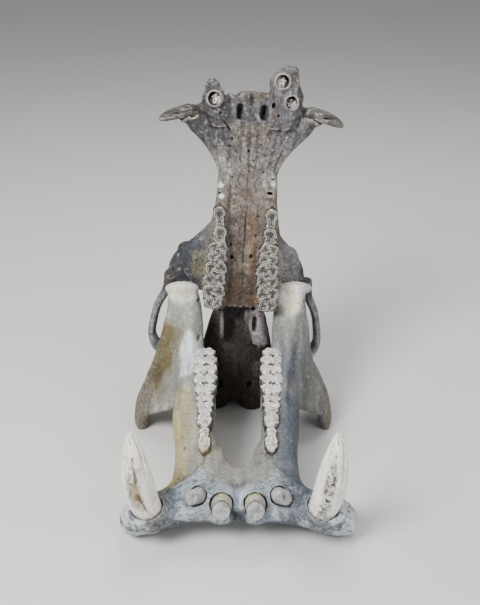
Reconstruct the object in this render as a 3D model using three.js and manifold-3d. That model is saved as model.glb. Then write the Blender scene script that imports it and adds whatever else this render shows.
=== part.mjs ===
// Skull of an adult hippopotamus, Hippopotamus amphibius, at life size, in millimetres, +Z up.
// The cranium stands on the back of its head with the snout in the air and the palate facing -Y.
// The lower jaw stands in front of it on its chin and its two angular hooks, teeth up.
// The animal's left is +X for both bones. The origin is the middle of the footprint, on the floor.
import * as THREE from "three";
import { mergeVertices } from "three/addons/utils/BufferGeometryUtils.js";
import { ParametricGeometry } from "three/addons/geometries/ParametricGeometry.js";
import Module from "manifold-3d";

// ---------------------------------------------------------------- driving dimensions
const CRANIUM_LEAN = 12.2; // degrees that the snout leans back from upright
const CRANIUM_ROLL = 3.3; // degrees that the snout leans to +X
const CRANIUM_X = -14; // the condyles stand a little to -X of the lower jaw's middle
const CRANIUM_Y = 91.4; // how far behind the lower jaw's own zero the condyles stand
const BASE_HEIGHT = 70; // height of the condyles above the palate's plane, in the cranium's frame

const JAW_TILT = 14.6; // degrees that the tooth rows dip towards the chin
const JAW_X = -2.5;
const JAW_Y = 140.4;
const JAW_Z = 214; // height of the jaw joint's zero, where the tooth plane runs out under the condyles

// The two sides differ a little: the animal's left is +X. Reaches and breadths scale the distance
// from the middle plane; the shift and the lift move a tusk, in millimetres.
const SIDES = [
  {
    name: "left",
    sign: 1,
    archReach: 166,
    cheekReach: 0.86,
    jawFlare: 0.955,
    jawBreadth: 0.93,
    ramusBreadth: 0.955,
    tuskShift: -14,
    canineLift: 6,
  },
  {
    name: "right",
    sign: -1,
    archReach: 178,
    cheekReach: 1,
    jawFlare: 1.095,
    jawBreadth: 1,
    ramusBreadth: 1.02,
    tuskShift: -2,
    canineLift: 0,
  },
];

// Seams of the cranium: where one bone ends and the next begins, in the cranium's frame.
const PREMAXILLA_SEAM = 606; // along the cranium
const PREMAXILLA_REACH = 92; // to each side of the middle plane
const MAXILLA_BACK = 246;
const CHEEK_SEAM = 100; // to each side of the middle plane
const CHEEK_FRONT = 372;
const CHEEK_BACK = 88;
const ROOF_SEAM = 128; // above the palate
const ROOF_FRONT = 380;
const ROOF_BACK = 228;

const FAR = 900; // beyond every solid
const SEAM = 0.3; // gap between neighbouring solids
const RING = 12; // faces round a bone
const FINE_RING = 10; // faces round a tooth or a thin bar

// Upper cheek teeth: where each crown starts behind the last, along the cranium.
const UPPER_ROW = [
  { name: "P3", front: 452, back: 414, width: 24, lobes: 1 },
  { name: "P4", front: 412, back: 386, width: 32, lobes: 1 },
  { name: "M1", front: 384, back: 344, width: 38, lobes: 2 },
  { name: "M2", front: 342, back: 298, width: 45, lobes: 2 },
  { name: "M3", front: 296, back: 248, width: 48, lobes: 2 },
];
const UPPER_ROW_MIDDLE = { front: 46, back: 54 }; // distance from the middle plane to the row
const UPPER_CROWN = 22; // height of a worn crown above the palate
const UPPER_ROOT = 10; // how far the crown reaches into the bone

// Lower cheek teeth, along the jaw from the condyles.
const LOWER_ROW = [
  { name: "m3", back: 111, front: 190, width: 40, lobes: 3 },
  { name: "m2", back: 192, front: 232, width: 36, lobes: 2 },
  { name: "m1", back: 234, front: 262, width: 30, lobes: 2 },
  { name: "p4", back: 264, front: 306, width: 25, lobes: 1 },
  { name: "p3", back: 312, front: 364, width: 22, lobes: 1 },
];
const LOWER_ROW_MIDDLE = 66;
const LOWER_CROWN = 14; // how far the lower crowns stand out of the bone
const LOWER_TOP = 2; // how far they stand over the plane that the jaw is measured from
const LOWER_ROOT = 12;

// ---------------------------------------------------------------- solids
const wasm = await Module();
wasm.setup();

// One closed manifold from a three.js geometry, with its pole triangles dropped and its faces out.
function solidOf(geometry) {
  const loose = geometry.index ? geometry.toNonIndexed() : geometry;
  const bare = new THREE.BufferGeometry();
  bare.setAttribute("position", loose.getAttribute("position"));
  const merged = mergeVertices(bare, 1e-3);
  const corners = merged.index.array;
  const kept = [];
  for (let i = 0; i < corners.length; i += 3) {
    const [a, b, c] = [corners[i], corners[i + 1], corners[i + 2]];
    if (a !== b && b !== c && a !== c) kept.push(a, b, c);
  }
  const build = (triVerts) =>
    new wasm.Manifold(
      new wasm.Mesh({
        numProp: 3,
        vertProperties: new Float32Array(merged.getAttribute("position").array),
        triVerts: new Uint32Array(triVerts),
      }),
    );
  const made = build(kept);
  return made.volume() > 0 ? made : build(kept.reverse());
}

function joined(...solids) {
  return solids.reduce((all, next) => all.add(next));
}

// The values of a list of stations at a place between them, each on a smooth curve.
function follow(stations, at) {
  const last = stations.length - 1;
  let i = 0;
  while (i < last - 1 && (stations[i + 1].at - at) * Math.sign(stations[last].at - stations[0].at) < 0) {
    i += 1;
  }
  const [p, q] = [stations[i], stations[i + 1]];
  const [before, after] = [stations[Math.max(i - 1, 0)], stations[Math.min(i + 2, last)]];
  const span = q.at - p.at;
  const t = THREE.MathUtils.clamp((at - p.at) / span, 0, 1);
  const [t2, t3] = [t * t, t * t * t];
  const result = { at };
  for (const key of Object.keys(p)) {
    if (key === "at") continue;
    const slopeIn = ((q[key] - before[key]) / (q.at - before.at)) * span;
    const slopeOut = ((after[key] - p[key]) / (after.at - p.at)) * span;
    result[key] =
      (2 * t3 - 3 * t2 + 1) * p[key] +
      (t3 - 2 * t2 + t) * slopeIn +
      (3 * t2 - 2 * t3) * q[key] +
      (t3 - t2) * slopeOut;
  }
  return result;
}

// A rounded section: half is its half breadth, low and high its two edges, mid the level where it
// is broadest, and square how boxy it is, 2 for an ellipse. lean slants it with the level.
function rim(section, angle) {
  const power = 2 / section.square;
  const [c, s] = [Math.cos(angle), Math.sin(angle)];
  const across = section.half * Math.sign(c) * Math.abs(c) ** power;
  const reach = s < 0 ? section.mid - section.low : section.high - section.mid;
  const level = section.mid + reach * Math.sign(s) * Math.abs(s) ** power;
  return [(section.centre ?? 0) + across + (section.lean ?? 0) * (level - section.mid), level];
}

// A bone lofted through stations. place turns (at, across, level) into a point.
function loft(stations, place, { around = RING, along = 14 } = {}) {
  const [first, last] = [stations[0].at, stations[stations.length - 1].at];
  const surface = (u, v, target) => {
    const row = v * (along + 2) - 1; // the rows before the first and after the last close the ends
    const section = follow(stations, first + (last - first) * THREE.MathUtils.clamp(row / along, 0, 1));
    const closed = row < -0.5 || row > along + 0.5;
    const [across, level] = closed ? [section.centre ?? 0, section.mid] : rim(section, u * 2 * Math.PI);
    target.copy(place(section.at, across, level));
  };
  return solidOf(new ParametricGeometry(surface, around, along + 2));
}

// A bar or tusk that follows a smooth curve. Each stop has its point and its two half sizes.
function bar(stops, { around = FINE_RING, along = 12, side = new THREE.Vector3(1, 0, 0) } = {}) {
  const curve = new THREE.CatmullRomCurve3(stops.map((stop) => stop.point));
  const sizes = stops.map(({ wide, deep }, i) => ({ at: i / (stops.length - 1), wide, deep }));
  const surface = (u, v, target) => {
    const row = v * (along + 2) - 1;
    const t = THREE.MathUtils.clamp(row / along, 0, 1);
    const closed = row < -0.5 || row > along + 0.5;
    const { wide, deep } = follow(sizes, t);
    const forward = curve.getTangent(t);
    const up = new THREE.Vector3().crossVectors(forward, side).normalize();
    const across = new THREE.Vector3().crossVectors(up, forward).normalize();
    const angle = u * 2 * Math.PI;
    target.copy(curve.getPoint(t));
    if (closed) return;
    target.addScaledVector(across, wide * Math.cos(angle));
    target.addScaledVector(up, deep * Math.sin(angle));
  };
  return solidOf(new ParametricGeometry(surface, around, along + 2));
}

// An egg-shaped swelling or hollow, on the side that sign says. Its lean is turned with its side.
function swelling({ centre, radii, lean = [0, 0, 0], fine = 8 }, sign = 1, reach = 1) {
  const ball = new THREE.SphereGeometry(1, fine, Math.round(fine * 0.6));
  const turn = new THREE.Euler(lean[0], sign * lean[1], sign * lean[2]);
  ball.scale(...radii);
  ball.applyMatrix4(new THREE.Matrix4().makeRotationFromEuler(turn));
  ball.translate(sign * reach * centre[0], centre[1], centre[2]);
  return solidOf(ball);
}

function block(low, high) {
  const size = high.map((value, i) => value - low[i]);
  const box = new THREE.BoxGeometry(...size);
  box.translate(...low.map((value, i) => value + size[i] / 2));
  return solidOf(box);
}

// A worn cheek tooth seen from above: one, two or three pairs of lobes, drawn as a wavy oval.
function crownOutline(length, width, lobes) {
  const outline = new THREE.Shape();
  const steps = lobes === 1 ? 6 : 4 * lobes + 2;
  for (let i = 0; i < steps; i += 1) {
    const angle = ((i + 0.5) / steps) * 2 * Math.PI;
    const along = Math.sign(Math.cos(angle)) * Math.abs(Math.cos(angle)) ** 0.7;
    const across = Math.sign(Math.sin(angle)) * Math.abs(Math.sin(angle)) ** 0.45;
    const point = [(along * length) / 2, (across * width) / 2];
    if (i === 0) outline.moveTo(...point);
    else outline.lineTo(...point);
  }
  outline.closePath();
  return outline;
}

// A crown of that outline. The bone's frame turns it to stand on its bone.
function crown(length, width, height, lobes, frame, centre) {
  const shape = new THREE.ExtrudeGeometry(crownOutline(length, width, lobes), {
    depth: height,
    bevelEnabled: false,
    steps: 1,
  });
  shape.applyMatrix4(frame);
  shape.translate(...centre);
  return solidOf(shape);
}

// Every piece is kept inside boxes and out of others, so that neighbours meet at thin straight seams.
function inside(solid, ...boxes) {
  return boxes.reduce((rest, box) => rest.intersect(box), solid);
}

function without(solid, ...others) {
  return others.reduce((rest, other) => rest.subtract(other), solid);
}

// ---------------------------------------------------------------- cranium
// Frame: X across, Y from the palate (0) to the top of the head, Z from the condyles (0) to the snout.
const craniumPoint = (z, x, y) => new THREE.Vector3(x, y, z);
const UPPER_CROWN_FRAME = new THREE.Matrix4().makeBasis(
  new THREE.Vector3(0, 0, 1),
  new THREE.Vector3(-1, 0, 0),
  new THREE.Vector3(0, -1, 0),
);

// The muzzle: narrow waist behind the canines, broad over the canine roots.
const MUZZLE = [
  { at: 246, half: 58, low: 2, mid: 36, high: 138, square: 3.0 },
  { at: 300, half: 62, low: 2, mid: 40, high: 148, square: 3.0 },
  { at: 360, half: 57, low: 2, mid: 42, high: 132, square: 3.0 },
  { at: 420, half: 49, low: 2, mid: 42, high: 116, square: 3.0 },
  { at: 470, half: 55, low: 2, mid: 40, high: 110, square: 3.0 },
  { at: 505, half: 57, low: 2, mid: 38, high: 108, square: 2.8 },
  { at: 535, half: 69, low: 2, mid: 36, high: 107, square: 2.6 },
  { at: 560, half: 88, low: 2, mid: 36, high: 105, square: 2.5 },
  { at: 585, half: 112, low: 3, mid: 38, high: 101, square: 2.4 },
  { at: 604, half: 124, low: 4, mid: 40, high: 93, square: 2.3 },
  { at: 622, half: 116, low: 6, mid: 40, high: 82, square: 2.3 },
  { at: 640, half: 90, low: 6, mid: 38, high: 72, square: 2.3 },
];

// The cheeks: the maxilla widening into the roots of the cheek bones, up to the orbits.
const CHEEK = [
  { at: 430, half: 48, low: 18, mid: 60, high: 104, square: 2.6 },
  { at: 405, half: 66, low: 26, mid: 64, high: 112, square: 2.6 },
  { at: 372, half: 95, low: 34, mid: 74, high: 126, square: 2.6 },
  { at: 345, half: 124, low: 42, mid: 84, high: 142, square: 2.6 },
  { at: 318, half: 144, low: 50, mid: 92, high: 152, square: 2.7 },
  { at: 290, half: 151, low: 58, mid: 96, high: 156, square: 2.8 },
  { at: 262, half: 149, low: 68, mid: 98, high: 150, square: 2.8 },
];

// The braincase, from behind the orbits to the crest at the back of the head.
const BRAINCASE = [
  { at: 264, half: 96, low: 62, mid: 120, high: 162, square: 2.6 },
  { at: 238, half: 58, low: 58, mid: 112, high: 162, square: 2.4 },
  { at: 205, half: 47, low: 58, mid: 108, high: 160, square: 2.2 },
  { at: 165, half: 52, low: 60, mid: 106, high: 160, square: 2.2 },
  { at: 125, half: 66, low: 62, mid: 104, high: 164, square: 2.2 },
  { at: 85, half: 84, low: 64, mid: 108, high: 171, square: 2.3 },
  { at: 52, half: 106, low: 66, mid: 116, high: 180, square: 2.5 },
  { at: 30, half: 110, low: 72, mid: 124, high: 187, square: 2.6 },
  { at: 22, half: 96, low: 82, mid: 128, high: 184, square: 2.6 },
];

// The plate between the two premaxillae, which carries the incisive foramina.
const INCISIVE_PLATE = [
  { at: 600, half: 66, low: 6, mid: 22, high: 42, square: 3 },
  { at: 640, half: 56, low: 7, mid: 22, high: 40, square: 3 },
  { at: 658, half: 44, low: 8, mid: 20, high: 34, square: 3 },
  { at: 664, half: 26, low: 12, mid: 20, high: 28, square: 3 },
];

// The two premaxillae: the left one is whole, the right one is broken off at its front socket.
const PREMAXILLA = {
  left: [
    { at: 596, centre: 56, half: 34, low: -2, mid: 26, high: 66, square: 2.4 },
    { at: 640, centre: 62, half: 32, low: -6, mid: 22, high: 54, square: 2.4 },
    { at: 662, centre: 62, half: 31, low: -8, mid: 18, high: 44, square: 2.4 },
    { at: 688, centre: 58, half: 27, low: -9, mid: 14, high: 36, square: 2.4 },
    { at: 705, centre: 65, half: 19, low: -6, mid: 12, high: 30, square: 2.2 },
    { at: 714, centre: 69, half: 8, low: 2, mid: 10, high: 20, square: 2 },
  ],
  right: [
    { at: 596, centre: 58, half: 34, low: -2, mid: 26, high: 66, square: 2.4 },
    { at: 634, centre: 67, half: 28, low: -6, mid: 22, high: 54, square: 2.4 },
    { at: 652, centre: 71, half: 20, low: -6, mid: 18, high: 42, square: 2.4 },
    { at: 668, centre: 73, half: 14, low: -2, mid: 14, high: 32, square: 2.2 },
    { at: 682, centre: 77, half: 6, low: 6, mid: 12, high: 20, square: 2 },
    { at: 686, centre: 78, half: 2, low: 10, mid: 12, high: 15, square: 2 },
  ],
};

// The bony tube that each upper canine grows from, and the canine, worn down to a slim stump.
const UPPER_CANINE = [
  { point: [104, 26, 620], wide: 13, deep: 13 },
  { point: [118, 16, 621], wide: 14, deep: 14 },
  { point: [140, 0, 617], wide: 12, deep: 12 },
  { point: [162, -13, 610], wide: 9, deep: 9 },
  { point: [175, -20, 606], wide: 4, deep: 4 },
];
const UPPER_CANINE_TUBE = [
  { point: [62, 50, 590], wide: 24, deep: 34 },
  { point: [94, 34, 602], wide: 23, deep: 32 },
  { point: [122, 17, 611], wide: 18, deep: 23 },
];

// The cheek arch, from the cheek bone back to the jaw joint and into the side of the braincase.
const ARCH = [
  { back: 285, reach: 0.8, y: 98, wide: 15, deep: 26 },
  { back: 252, reach: 0.85, y: 101, wide: 9.5, deep: 21 },
  { back: 218, reach: 0.945, y: 103, wide: 8.5, deep: 18 },
  { back: 184, reach: 0.99, y: 104, wide: 8.5, deep: 18 },
  { back: 150, reach: 1.0, y: 105, wide: 9, deep: 18 },
  { back: 124, reach: 0.9, y: 107, wide: 13, deep: 20 },
  { back: 112, reach: 0.66, y: 108, wide: 17, deep: 22 },
  { back: 106, reach: 0.3, y: 108, wide: 20, deep: 24 },
];

function mirrored(stops, sign, grow = 0) {
  return stops.map(({ point: [x, y, z], wide, deep }) => ({
    point: new THREE.Vector3(sign * x, y, z),
    wide: wide + grow,
    deep: deep + grow,
  }));
}

// An upper canine's deep size runs from back to snout.
const CRANIUM_SIDE_AXIS = new THREE.Vector3(0, 1, 0);
const CANINE_FACES = { along: 5, around: 8, side: CRANIUM_SIDE_AXIS };
const TUBE_FACES = { along: 2, around: 8, side: CRANIUM_SIDE_AXIS };

function lifted(stops, rise) {
  return stops.map((stop) => ({ ...stop, point: [stop.point[0], stop.point[1], stop.point[2] + rise] }));
}

function upperCanine({ sign, canineLift }, grow = 0) {
  const stops = lifted(UPPER_CANINE, canineLift);
  return bar(mirrored(stops, sign, grow), CANINE_FACES);
}

// The roof over each eye stands up as a ring, with the eye socket through its side.
const ORBIT_RIM = { centre: [112, 152, 296], radii: [34, 44, 48], fine: FINE_RING };
const BROW = { centre: [76, 150, 280], radii: [44, 26, 48] };
const EYE_SOCKET = { centre: [146, 158, 298], radii: [38, 28, 34] };

function orbitRing({ sign, cheekReach }) {
  const [ring, brow, socket] = [ORBIT_RIM, BROW, EYE_SOCKET].map((one) =>
    swelling(one, sign, cheekReach),
  );
  return joined(ring, brow).subtract(socket);
}

function arch({ sign, archReach }) {
  const stops = ARCH.map(({ back, reach, y, wide, deep }) => ({
    point: new THREE.Vector3(sign * archReach * reach, y, back),
    wide,
    deep,
  }));
  return bar(stops, { along: 11, around: 8 });
}

function upperTeeth(sign) {
  const [start, end] = [UPPER_ROW[0].front, UPPER_ROW[UPPER_ROW.length - 1].back];
  return UPPER_ROW.map(({ front, back, width, lobes }) => {
    const middle = (front + back) / 2;
    const share = (start - middle) / (start - end);
    const x = THREE.MathUtils.lerp(UPPER_ROW_MIDDLE.front, UPPER_ROW_MIDDLE.back, share);
    const centre = [sign * x, UPPER_ROOT, middle];
    const height = UPPER_CROWN + UPPER_ROOT;
    return crown(front - back, width, height, lobes, UPPER_CROWN_FRAME, centre);
  });
}

// The raised bone that the cheek teeth stand in, from the first premolar's sockets to the last molar.
const TOOTH_RIDGE = [
  { at: 243, centre: 52, half: 20, low: -3, mid: 12, high: 34, square: 3 },
  { at: 300, centre: 54, half: 24, low: -9, mid: 12, high: 38, square: 3 },
  { at: 380, centre: 51, half: 20, low: -8, mid: 12, high: 40, square: 3 },
  { at: 450, centre: 46, half: 14, low: -6, mid: 12, high: 40, square: 3 },
  { at: 500, centre: 44, half: 12, low: -3, mid: 12, high: 40, square: 3 },
  { at: 518, centre: 43, half: 6, low: 4, mid: 14, high: 30, square: 3 },
];

function cheek({ cheekReach }) {
  return CHEEK.map((station) => ({ ...station, half: station.half * cheekReach }));
}

// One side of the middle plane.
function half(sign, gap) {
  return block([sign > 0 ? gap : -FAR, -FAR, -FAR], [sign > 0 ? FAR : -gap, FAR, FAR]);
}

function shifted(stations, sign) {
  return stations.map((station) => ({ ...station, centre: sign * station.centre }));
}

// The bony wings behind the palate, on either side of the inner nostrils. Only the left one keeps
// its broad blade and the window in it.
const PTERYGOID = {
  left: [
    { at: 262, centre: 42, half: 17, low: 6, mid: 30, high: 70, square: 3 },
    { at: 225, centre: 36, half: 17, low: -2, mid: 34, high: 74, square: 3 },
    { at: 185, centre: 33, half: 15, low: -2, mid: 40, high: 76, square: 3 },
    { at: 168, centre: 32, half: 10, low: 8, mid: 52, high: 76, square: 3 },
  ],
  right: [
    { at: 262, centre: 42, half: 9, low: 6, mid: 30, high: 70, square: 3 },
    { at: 225, centre: 36, half: 6, low: 14, mid: 34, high: 74, square: 3 },
    { at: 185, centre: 33, half: 5, low: 26, mid: 40, high: 76, square: 3 },
    { at: 168, centre: 32, half: 4, low: 44, mid: 52, high: 76, square: 3 },
  ],
};
const PTERYGOID_WINDOW = { centre: [36, -4, 218], radii: [7, 26, 14], fine: FINE_RING };

function pterygoid({ name, sign }) {
  const plate = loft(shifted(PTERYGOID[name], sign), craniumPoint, { around: 8, along: 4 });
  return name === "left" ? plate.subtract(swelling(PTERYGOID_WINDOW)) : plate;
}

// What stands out at the back, and the hollows there.
const CONDYLE = { centre: [36, 90, 22], radii: [26, 24, 24] };
const JUGULAR_PROCESS = { centre: [66, 66, 34], radii: [13, 26, 16], lean: [0, 0, -0.2], fine: 6 };
const EAR_BONE = { centre: [46, 58, 100], radii: [15, 14, 20], fine: 6 };
const NAPE_HOLLOW = { centre: [50, 152, 4], radii: [44, 26, 27] };
const FORAMEN_MAGNUM = { centre: [0, 104, 10], radii: [17, 15, 26] };
const NOSTRILS = { centre: [0, 66, 655], radii: [34, 25, 76] };
const CHOANA = { centre: [0, 36, 214], radii: [24, 26, 46] };

function wholeCranium() {
  const grown = [
    loft(MUZZLE, craniumPoint, { along: 12 }),
    loft(BRAINCASE, craniumPoint, { along: 8 }),
    loft(INCISIVE_PLATE, craniumPoint, { along: 3, around: FINE_RING }),
  ];
  for (const side of SIDES) {
    const { name, sign } = side;
    grown.push(
      loft(shifted(PREMAXILLA[name], sign), craniumPoint, { along: 6, around: 10 }),
      bar(mirrored(lifted(UPPER_CANINE_TUBE, side.canineLift), sign), TUBE_FACES),
      loft(shifted(TOOTH_RIDGE, sign), craniumPoint, { along: 4, around: 8 }),
      ...upperTeeth(sign),
      inside(loft(cheek(side), craniumPoint, { along: 5, around: 14 }), half(sign, 0)),
      orbitRing(side),
      arch(side),
      pterygoid(side),
      ...[CONDYLE, JUGULAR_PROCESS, EAR_BONE].map((one) => swelling(one, sign)),
    );
  }
  const hollows = [NOSTRILS, CHOANA, FORAMEN_MAGNUM].map((one) => swelling(one));
  const napes = SIDES.map(({ sign }) => swelling(NAPE_HOLLOW, sign));
  return without(joined(...grown), ...hollows, ...napes);
}

// ---------------------------------------------------------------- lower jaw
// Frame: X across, -Y forward from the condyles to the chin, Z up from the plane of the tooth tops.
const jawPoint = (x, forward, height) => new THREE.Vector3(x, -forward, height);
const LOWER_CROWN_FRAME = new THREE.Matrix4().makeBasis(
  new THREE.Vector3(0, -1, 0),
  new THREE.Vector3(1, 0, 0),
  new THREE.Vector3(0, 0, 1),
);

// The tooth-bearing body of one side, from behind the last molar to the canine.
const JAW_BODY = [
  { at: 86, centre: 90, half: 16, low: -66, mid: -20, high: 8, square: 2.4 },
  { at: 112, centre: 87, half: 25, low: -84, mid: -34, high: 1, square: 2.6 },
  { at: 150, centre: 83, half: 33, low: -96, mid: -46, high: -5, square: 2.8 },
  { at: 200, centre: 84, half: 39, low: -105, mid: -54, high: -7, square: 2.8 },
  { at: 250, centre: 85, half: 40, low: -108, mid: -58, high: -8, square: 2.8 },
  { at: 300, centre: 81, half: 37, low: -106, mid: -56, high: -9, square: 2.8 },
  { at: 340, centre: 78, half: 37, low: -98, mid: -52, high: -10, square: 2.8 },
  { at: 375, centre: 78, half: 38, low: -90, mid: -50, high: -12, square: 2.8 },
  { at: 405, centre: 78, half: 43, low: -82, mid: -48, high: -14, square: 2.8 },
  { at: 440, centre: 86, half: 58, low: -72, mid: -46, high: -16, square: 2.8 },
  { at: 462, centre: 86, half: 52, low: -60, mid: -42, high: -22, square: 2.8 },
];

// The broad front that joins the two sides, as sections across from the middle to the canine's bulge.
const JAW_FRONT = [
  { at: -4, centre: 424, half: 55, low: -58, mid: -42, high: -27, lean: 0.4, square: 2.6 },
  { at: 19, centre: 415, half: 64, low: -57, mid: -42, high: -25, lean: 0.4, square: 2.6 },
  { at: 33, centre: 399, half: 80, low: -60, mid: -43, high: -20, lean: 0.4, square: 2.6 },
  { at: 46, centre: 395, half: 84, low: -62, mid: -44, high: -16, lean: 0.4, square: 2.6 },
  { at: 80, centre: 438, half: 43, low: -72, mid: -46, high: -14, lean: 0.4, square: 2.8 },
  { at: 110, centre: 446, half: 36, low: -88, mid: -50, high: -14, lean: 0.4, square: 2.8 },
  { at: 150, centre: 452, half: 38, low: -110, mid: -56, high: -18, lean: 0.35, square: 2.6 },
  { at: 180, centre: 457, half: 34, low: -111, mid: -60, high: -28, lean: 0.35, square: 2.5 },
  { at: 196, centre: 460, half: 25, low: -94, mid: -62, high: -38, lean: 0.35, square: 2.4 },
  { at: 204, centre: 461, half: 12, low: -78, mid: -62, high: -48, lean: 0.35, square: 2.2 },
];

// The upright ramus, flaring down and out into the angle with its hook. Each section lies level:
// centre and half are across, low is its rear edge and high its front edge.
const RAMUS = [
  { at: 66, centre: 111, half: 29, low: -9, mid: 4, high: 18, lean: 0, square: 2.4 },
  { at: 45, centre: 108, half: 32, low: 0, mid: 16, high: 46, lean: -0.05, square: 2.4 },
  { at: 20, centre: 107, half: 36, low: 14, mid: 44, high: 88, lean: -0.14, square: 2.4 },
  { at: 0, centre: 109, half: 38, low: 24, mid: 64, high: 114, lean: -0.18, square: 2.4 },
  { at: -22, centre: 112, half: 35, low: 34, mid: 76, high: 144, lean: -0.2, square: 2.4 },
  { at: -52, centre: 118, half: 25, low: 42, mid: 90, high: 172, lean: -0.18, square: 2.4 },
  { at: -86, centre: 140, half: 22, low: 48, mid: 102, high: 186, lean: -0.2, square: 2.3 },
  { at: -110, centre: 160, half: 19, low: 56, mid: 108, high: 178, lean: -0.12, square: 2.3 },
  { at: -140, centre: 181, half: 17, low: 74, mid: 116, high: 164, lean: 0, square: 2.4 },
  { at: -164, centre: 188, half: 16, low: 96, mid: 132, high: 166, lean: 0, square: 2.4 },
  { at: -181, centre: 188, half: 12, low: 118, mid: 145, high: 166, lean: 0, square: 2.2 },
];

// The plate outside the ramus, whose outer edge runs from the neck down to the hook. The edge lies that
// far out and that far forward at each height.
const PLATE = {
  left: [
    { at: 40, edge: 128, fore: 44 },
    { at: 12, edge: 133, fore: 60 },
    { at: -16, edge: 142, fore: 84 },
    { at: -44, edge: 151, fore: 104 },
    { at: -74, edge: 160, fore: 118 },
    { at: -104, edge: 173, fore: 134 },
    { at: -132, edge: 184, fore: 142 },
  ],
  right: [
    { at: 40, edge: 145, fore: 52 },
    { at: 14, edge: 152, fore: 68 },
    { at: -14, edge: 163, fore: 88 },
    { at: -44, edge: 175, fore: 104 },
    { at: -76, edge: 188, fore: 112 },
    { at: -108, edge: 200, fore: 124 },
    { at: -134, edge: 206, fore: 138 },
  ],
};
const PLATE_ROOT = 96; // how far out the plate starts, inside the ramus
const PLATE_HALF = 9; // half its thickness

const LOWER_CANINE = [
  { point: [146, -463, -56], wide: 20, deep: 22 },
  { point: [152, -470, -30], wide: 23, deep: 25 },
  { point: [161.5, -472, 12], wide: 26, deep: 27 },
  { point: [169, -462, 58], wide: 25.5, deep: 26 },
  { point: [174, -445, 98], wide: 18, deep: 20 },
  { point: [178, -426, 126], wide: 6, deep: 9 },
];

// Lower incisors: broken stumps in round sockets, the middle pair larger.
const LOWER_INCISORS = [
  { name: "1", root: [28, -426, -34], end: [28.8, -487, -3], size: 16.5, tube: 22 },
  { name: "2", root: [58, -424, -30], end: [79, -463, 1], size: 13, tube: 18 },
];

function lowerCanine({ sign, tuskShift }, grow = 0) {
  const stops = LOWER_CANINE.map(({ point: [x, y, z], ...sizes }) => ({
    ...sizes,
    point: [x + tuskShift, y, z],
  }));
  return bar(mirrored(stops, sign, grow), { along: 7, around: 10 });
}

function lowerIncisor(sign, { root, end, size }, grow = 0) {
  const [from, to] = [root, end].map(([x, y, z]) => new THREE.Vector3(sign * x, y, z));
  const place = (share) => from.clone().lerp(to, share);
  const wide = size + grow;
  const deep = size * 1.1 + grow;
  return bar(
    [
      { point: place(0), wide: wide * 0.8, deep: deep * 0.8 },
      { point: place(0.45), wide, deep },
      { point: place(0.9), wide, deep },
      { point: place(1), wide: wide * 0.75, deep: deep * 0.75 },
    ],
    { along: 3, around: 10 },
  );
}

function lowerTeeth(sign) {
  return LOWER_ROW.map(({ front, back, width, lobes }) => {
    const height = LOWER_CROWN + LOWER_ROOT;
    const centre = [sign * LOWER_ROW_MIDDLE, -(front + back) / 2, LOWER_TOP - height];
    return crown(front - back, width, height, lobes, LOWER_CROWN_FRAME, centre);
  });
}

// The flare grows outwards from the neck under the condyle.
const NECK = 112;
const JAW_CONDYLE = { centre: [113, -5, 67], radii: [34.5, 15, 13], lean: [0, -0.2, -0.2] };
const CORONOID = { centre: [96, -72, 6], radii: [20, 46, 34], lean: [0.6, 0, 0] };
const SOCKET_SHARES = [-0.2, 0.68]; // where a socket's wall begins and ends, along its incisor

function flared({ sign, jawFlare }) {
  return RAMUS.map((station) => ({
    ...station,
    centre: sign * (NECK + (station.centre - NECK) * jawFlare),
    lean: sign * station.lean,
  }));
}

function plate({ name, sign }) {
  const stations = PLATE[name].map(({ at, edge, fore }) => ({
    at,
    centre: (sign * (edge + PLATE_ROOT)) / 2,
    half: (edge - PLATE_ROOT) / 2,
    low: fore - PLATE_HALF,
    mid: fore,
    high: fore + PLATE_HALF,
    lean: 0,
    square: 2.2,
  }));
  return loft(stations, (h, x, f) => jawPoint(x, f, h), { along: 4, around: 8 });
}

function wholeDentary(side) {
  const { sign, jawBreadth, ramusBreadth } = side;
  const body = loft(shifted(JAW_BODY, sign), (f, x, h) => jawPoint(x * jawBreadth, f, h), { along: 8 });
  const front = loft(JAW_FRONT, (x, f, h) => jawPoint(sign * x, f, h), { along: 8 });
  const ramus = loft(flared(side), (h, x, f) => jawPoint(x * ramusBreadth, f, h), { along: 10 });
  const swellings = [JAW_CONDYLE, CORONOID].map((one) => swelling(one, sign));
  const tubes = LOWER_INCISORS.map(({ root, end, tube }) => {
    const [from, to] = [root, end].map(([x, y, z]) => new THREE.Vector3(sign * x, y, z));
    const place = (share) => from.clone().lerp(to, share);
    const stops = SOCKET_SHARES.map((share) => ({ point: place(share), wide: tube, deep: tube }));
    return bar(stops, { along: 1, around: 8 });
  });
  const holes = LOWER_INCISORS.map((tooth) => lowerIncisor(sign, tooth, SEAM));
  const grown = joined(body, front, ramus, plate(side), ...swellings, ...tubes, ...lowerTeeth(sign));
  return inside(without(grown, ...holes, lowerCanine(side, SEAM)), half(sign, SEAM / 2));
}

// ---------------------------------------------------------------- assembly
const BONE = { color: 0xa9a49a, roughness: 0.75, metalness: 0 };
const FINISHES = {
  muzzle: new THREE.MeshStandardMaterial({ ...BONE, color: 0x8d8987 }),
  cheek: new THREE.MeshStandardMaterial({ ...BONE, color: 0x8b8c92 }),
  head: new THREE.MeshStandardMaterial({ ...BONE, color: 0x7c756d }),
  jaw: new THREE.MeshStandardMaterial({ ...BONE, color: 0xb3b0a3 }),
  tusk: new THREE.MeshStandardMaterial({ color: 0xe4dfd2, roughness: 0.45, metalness: 0 }),
  stump: new THREE.MeshStandardMaterial({ color: 0xa39c97, roughness: 0.6, metalness: 0 }),
};

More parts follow.
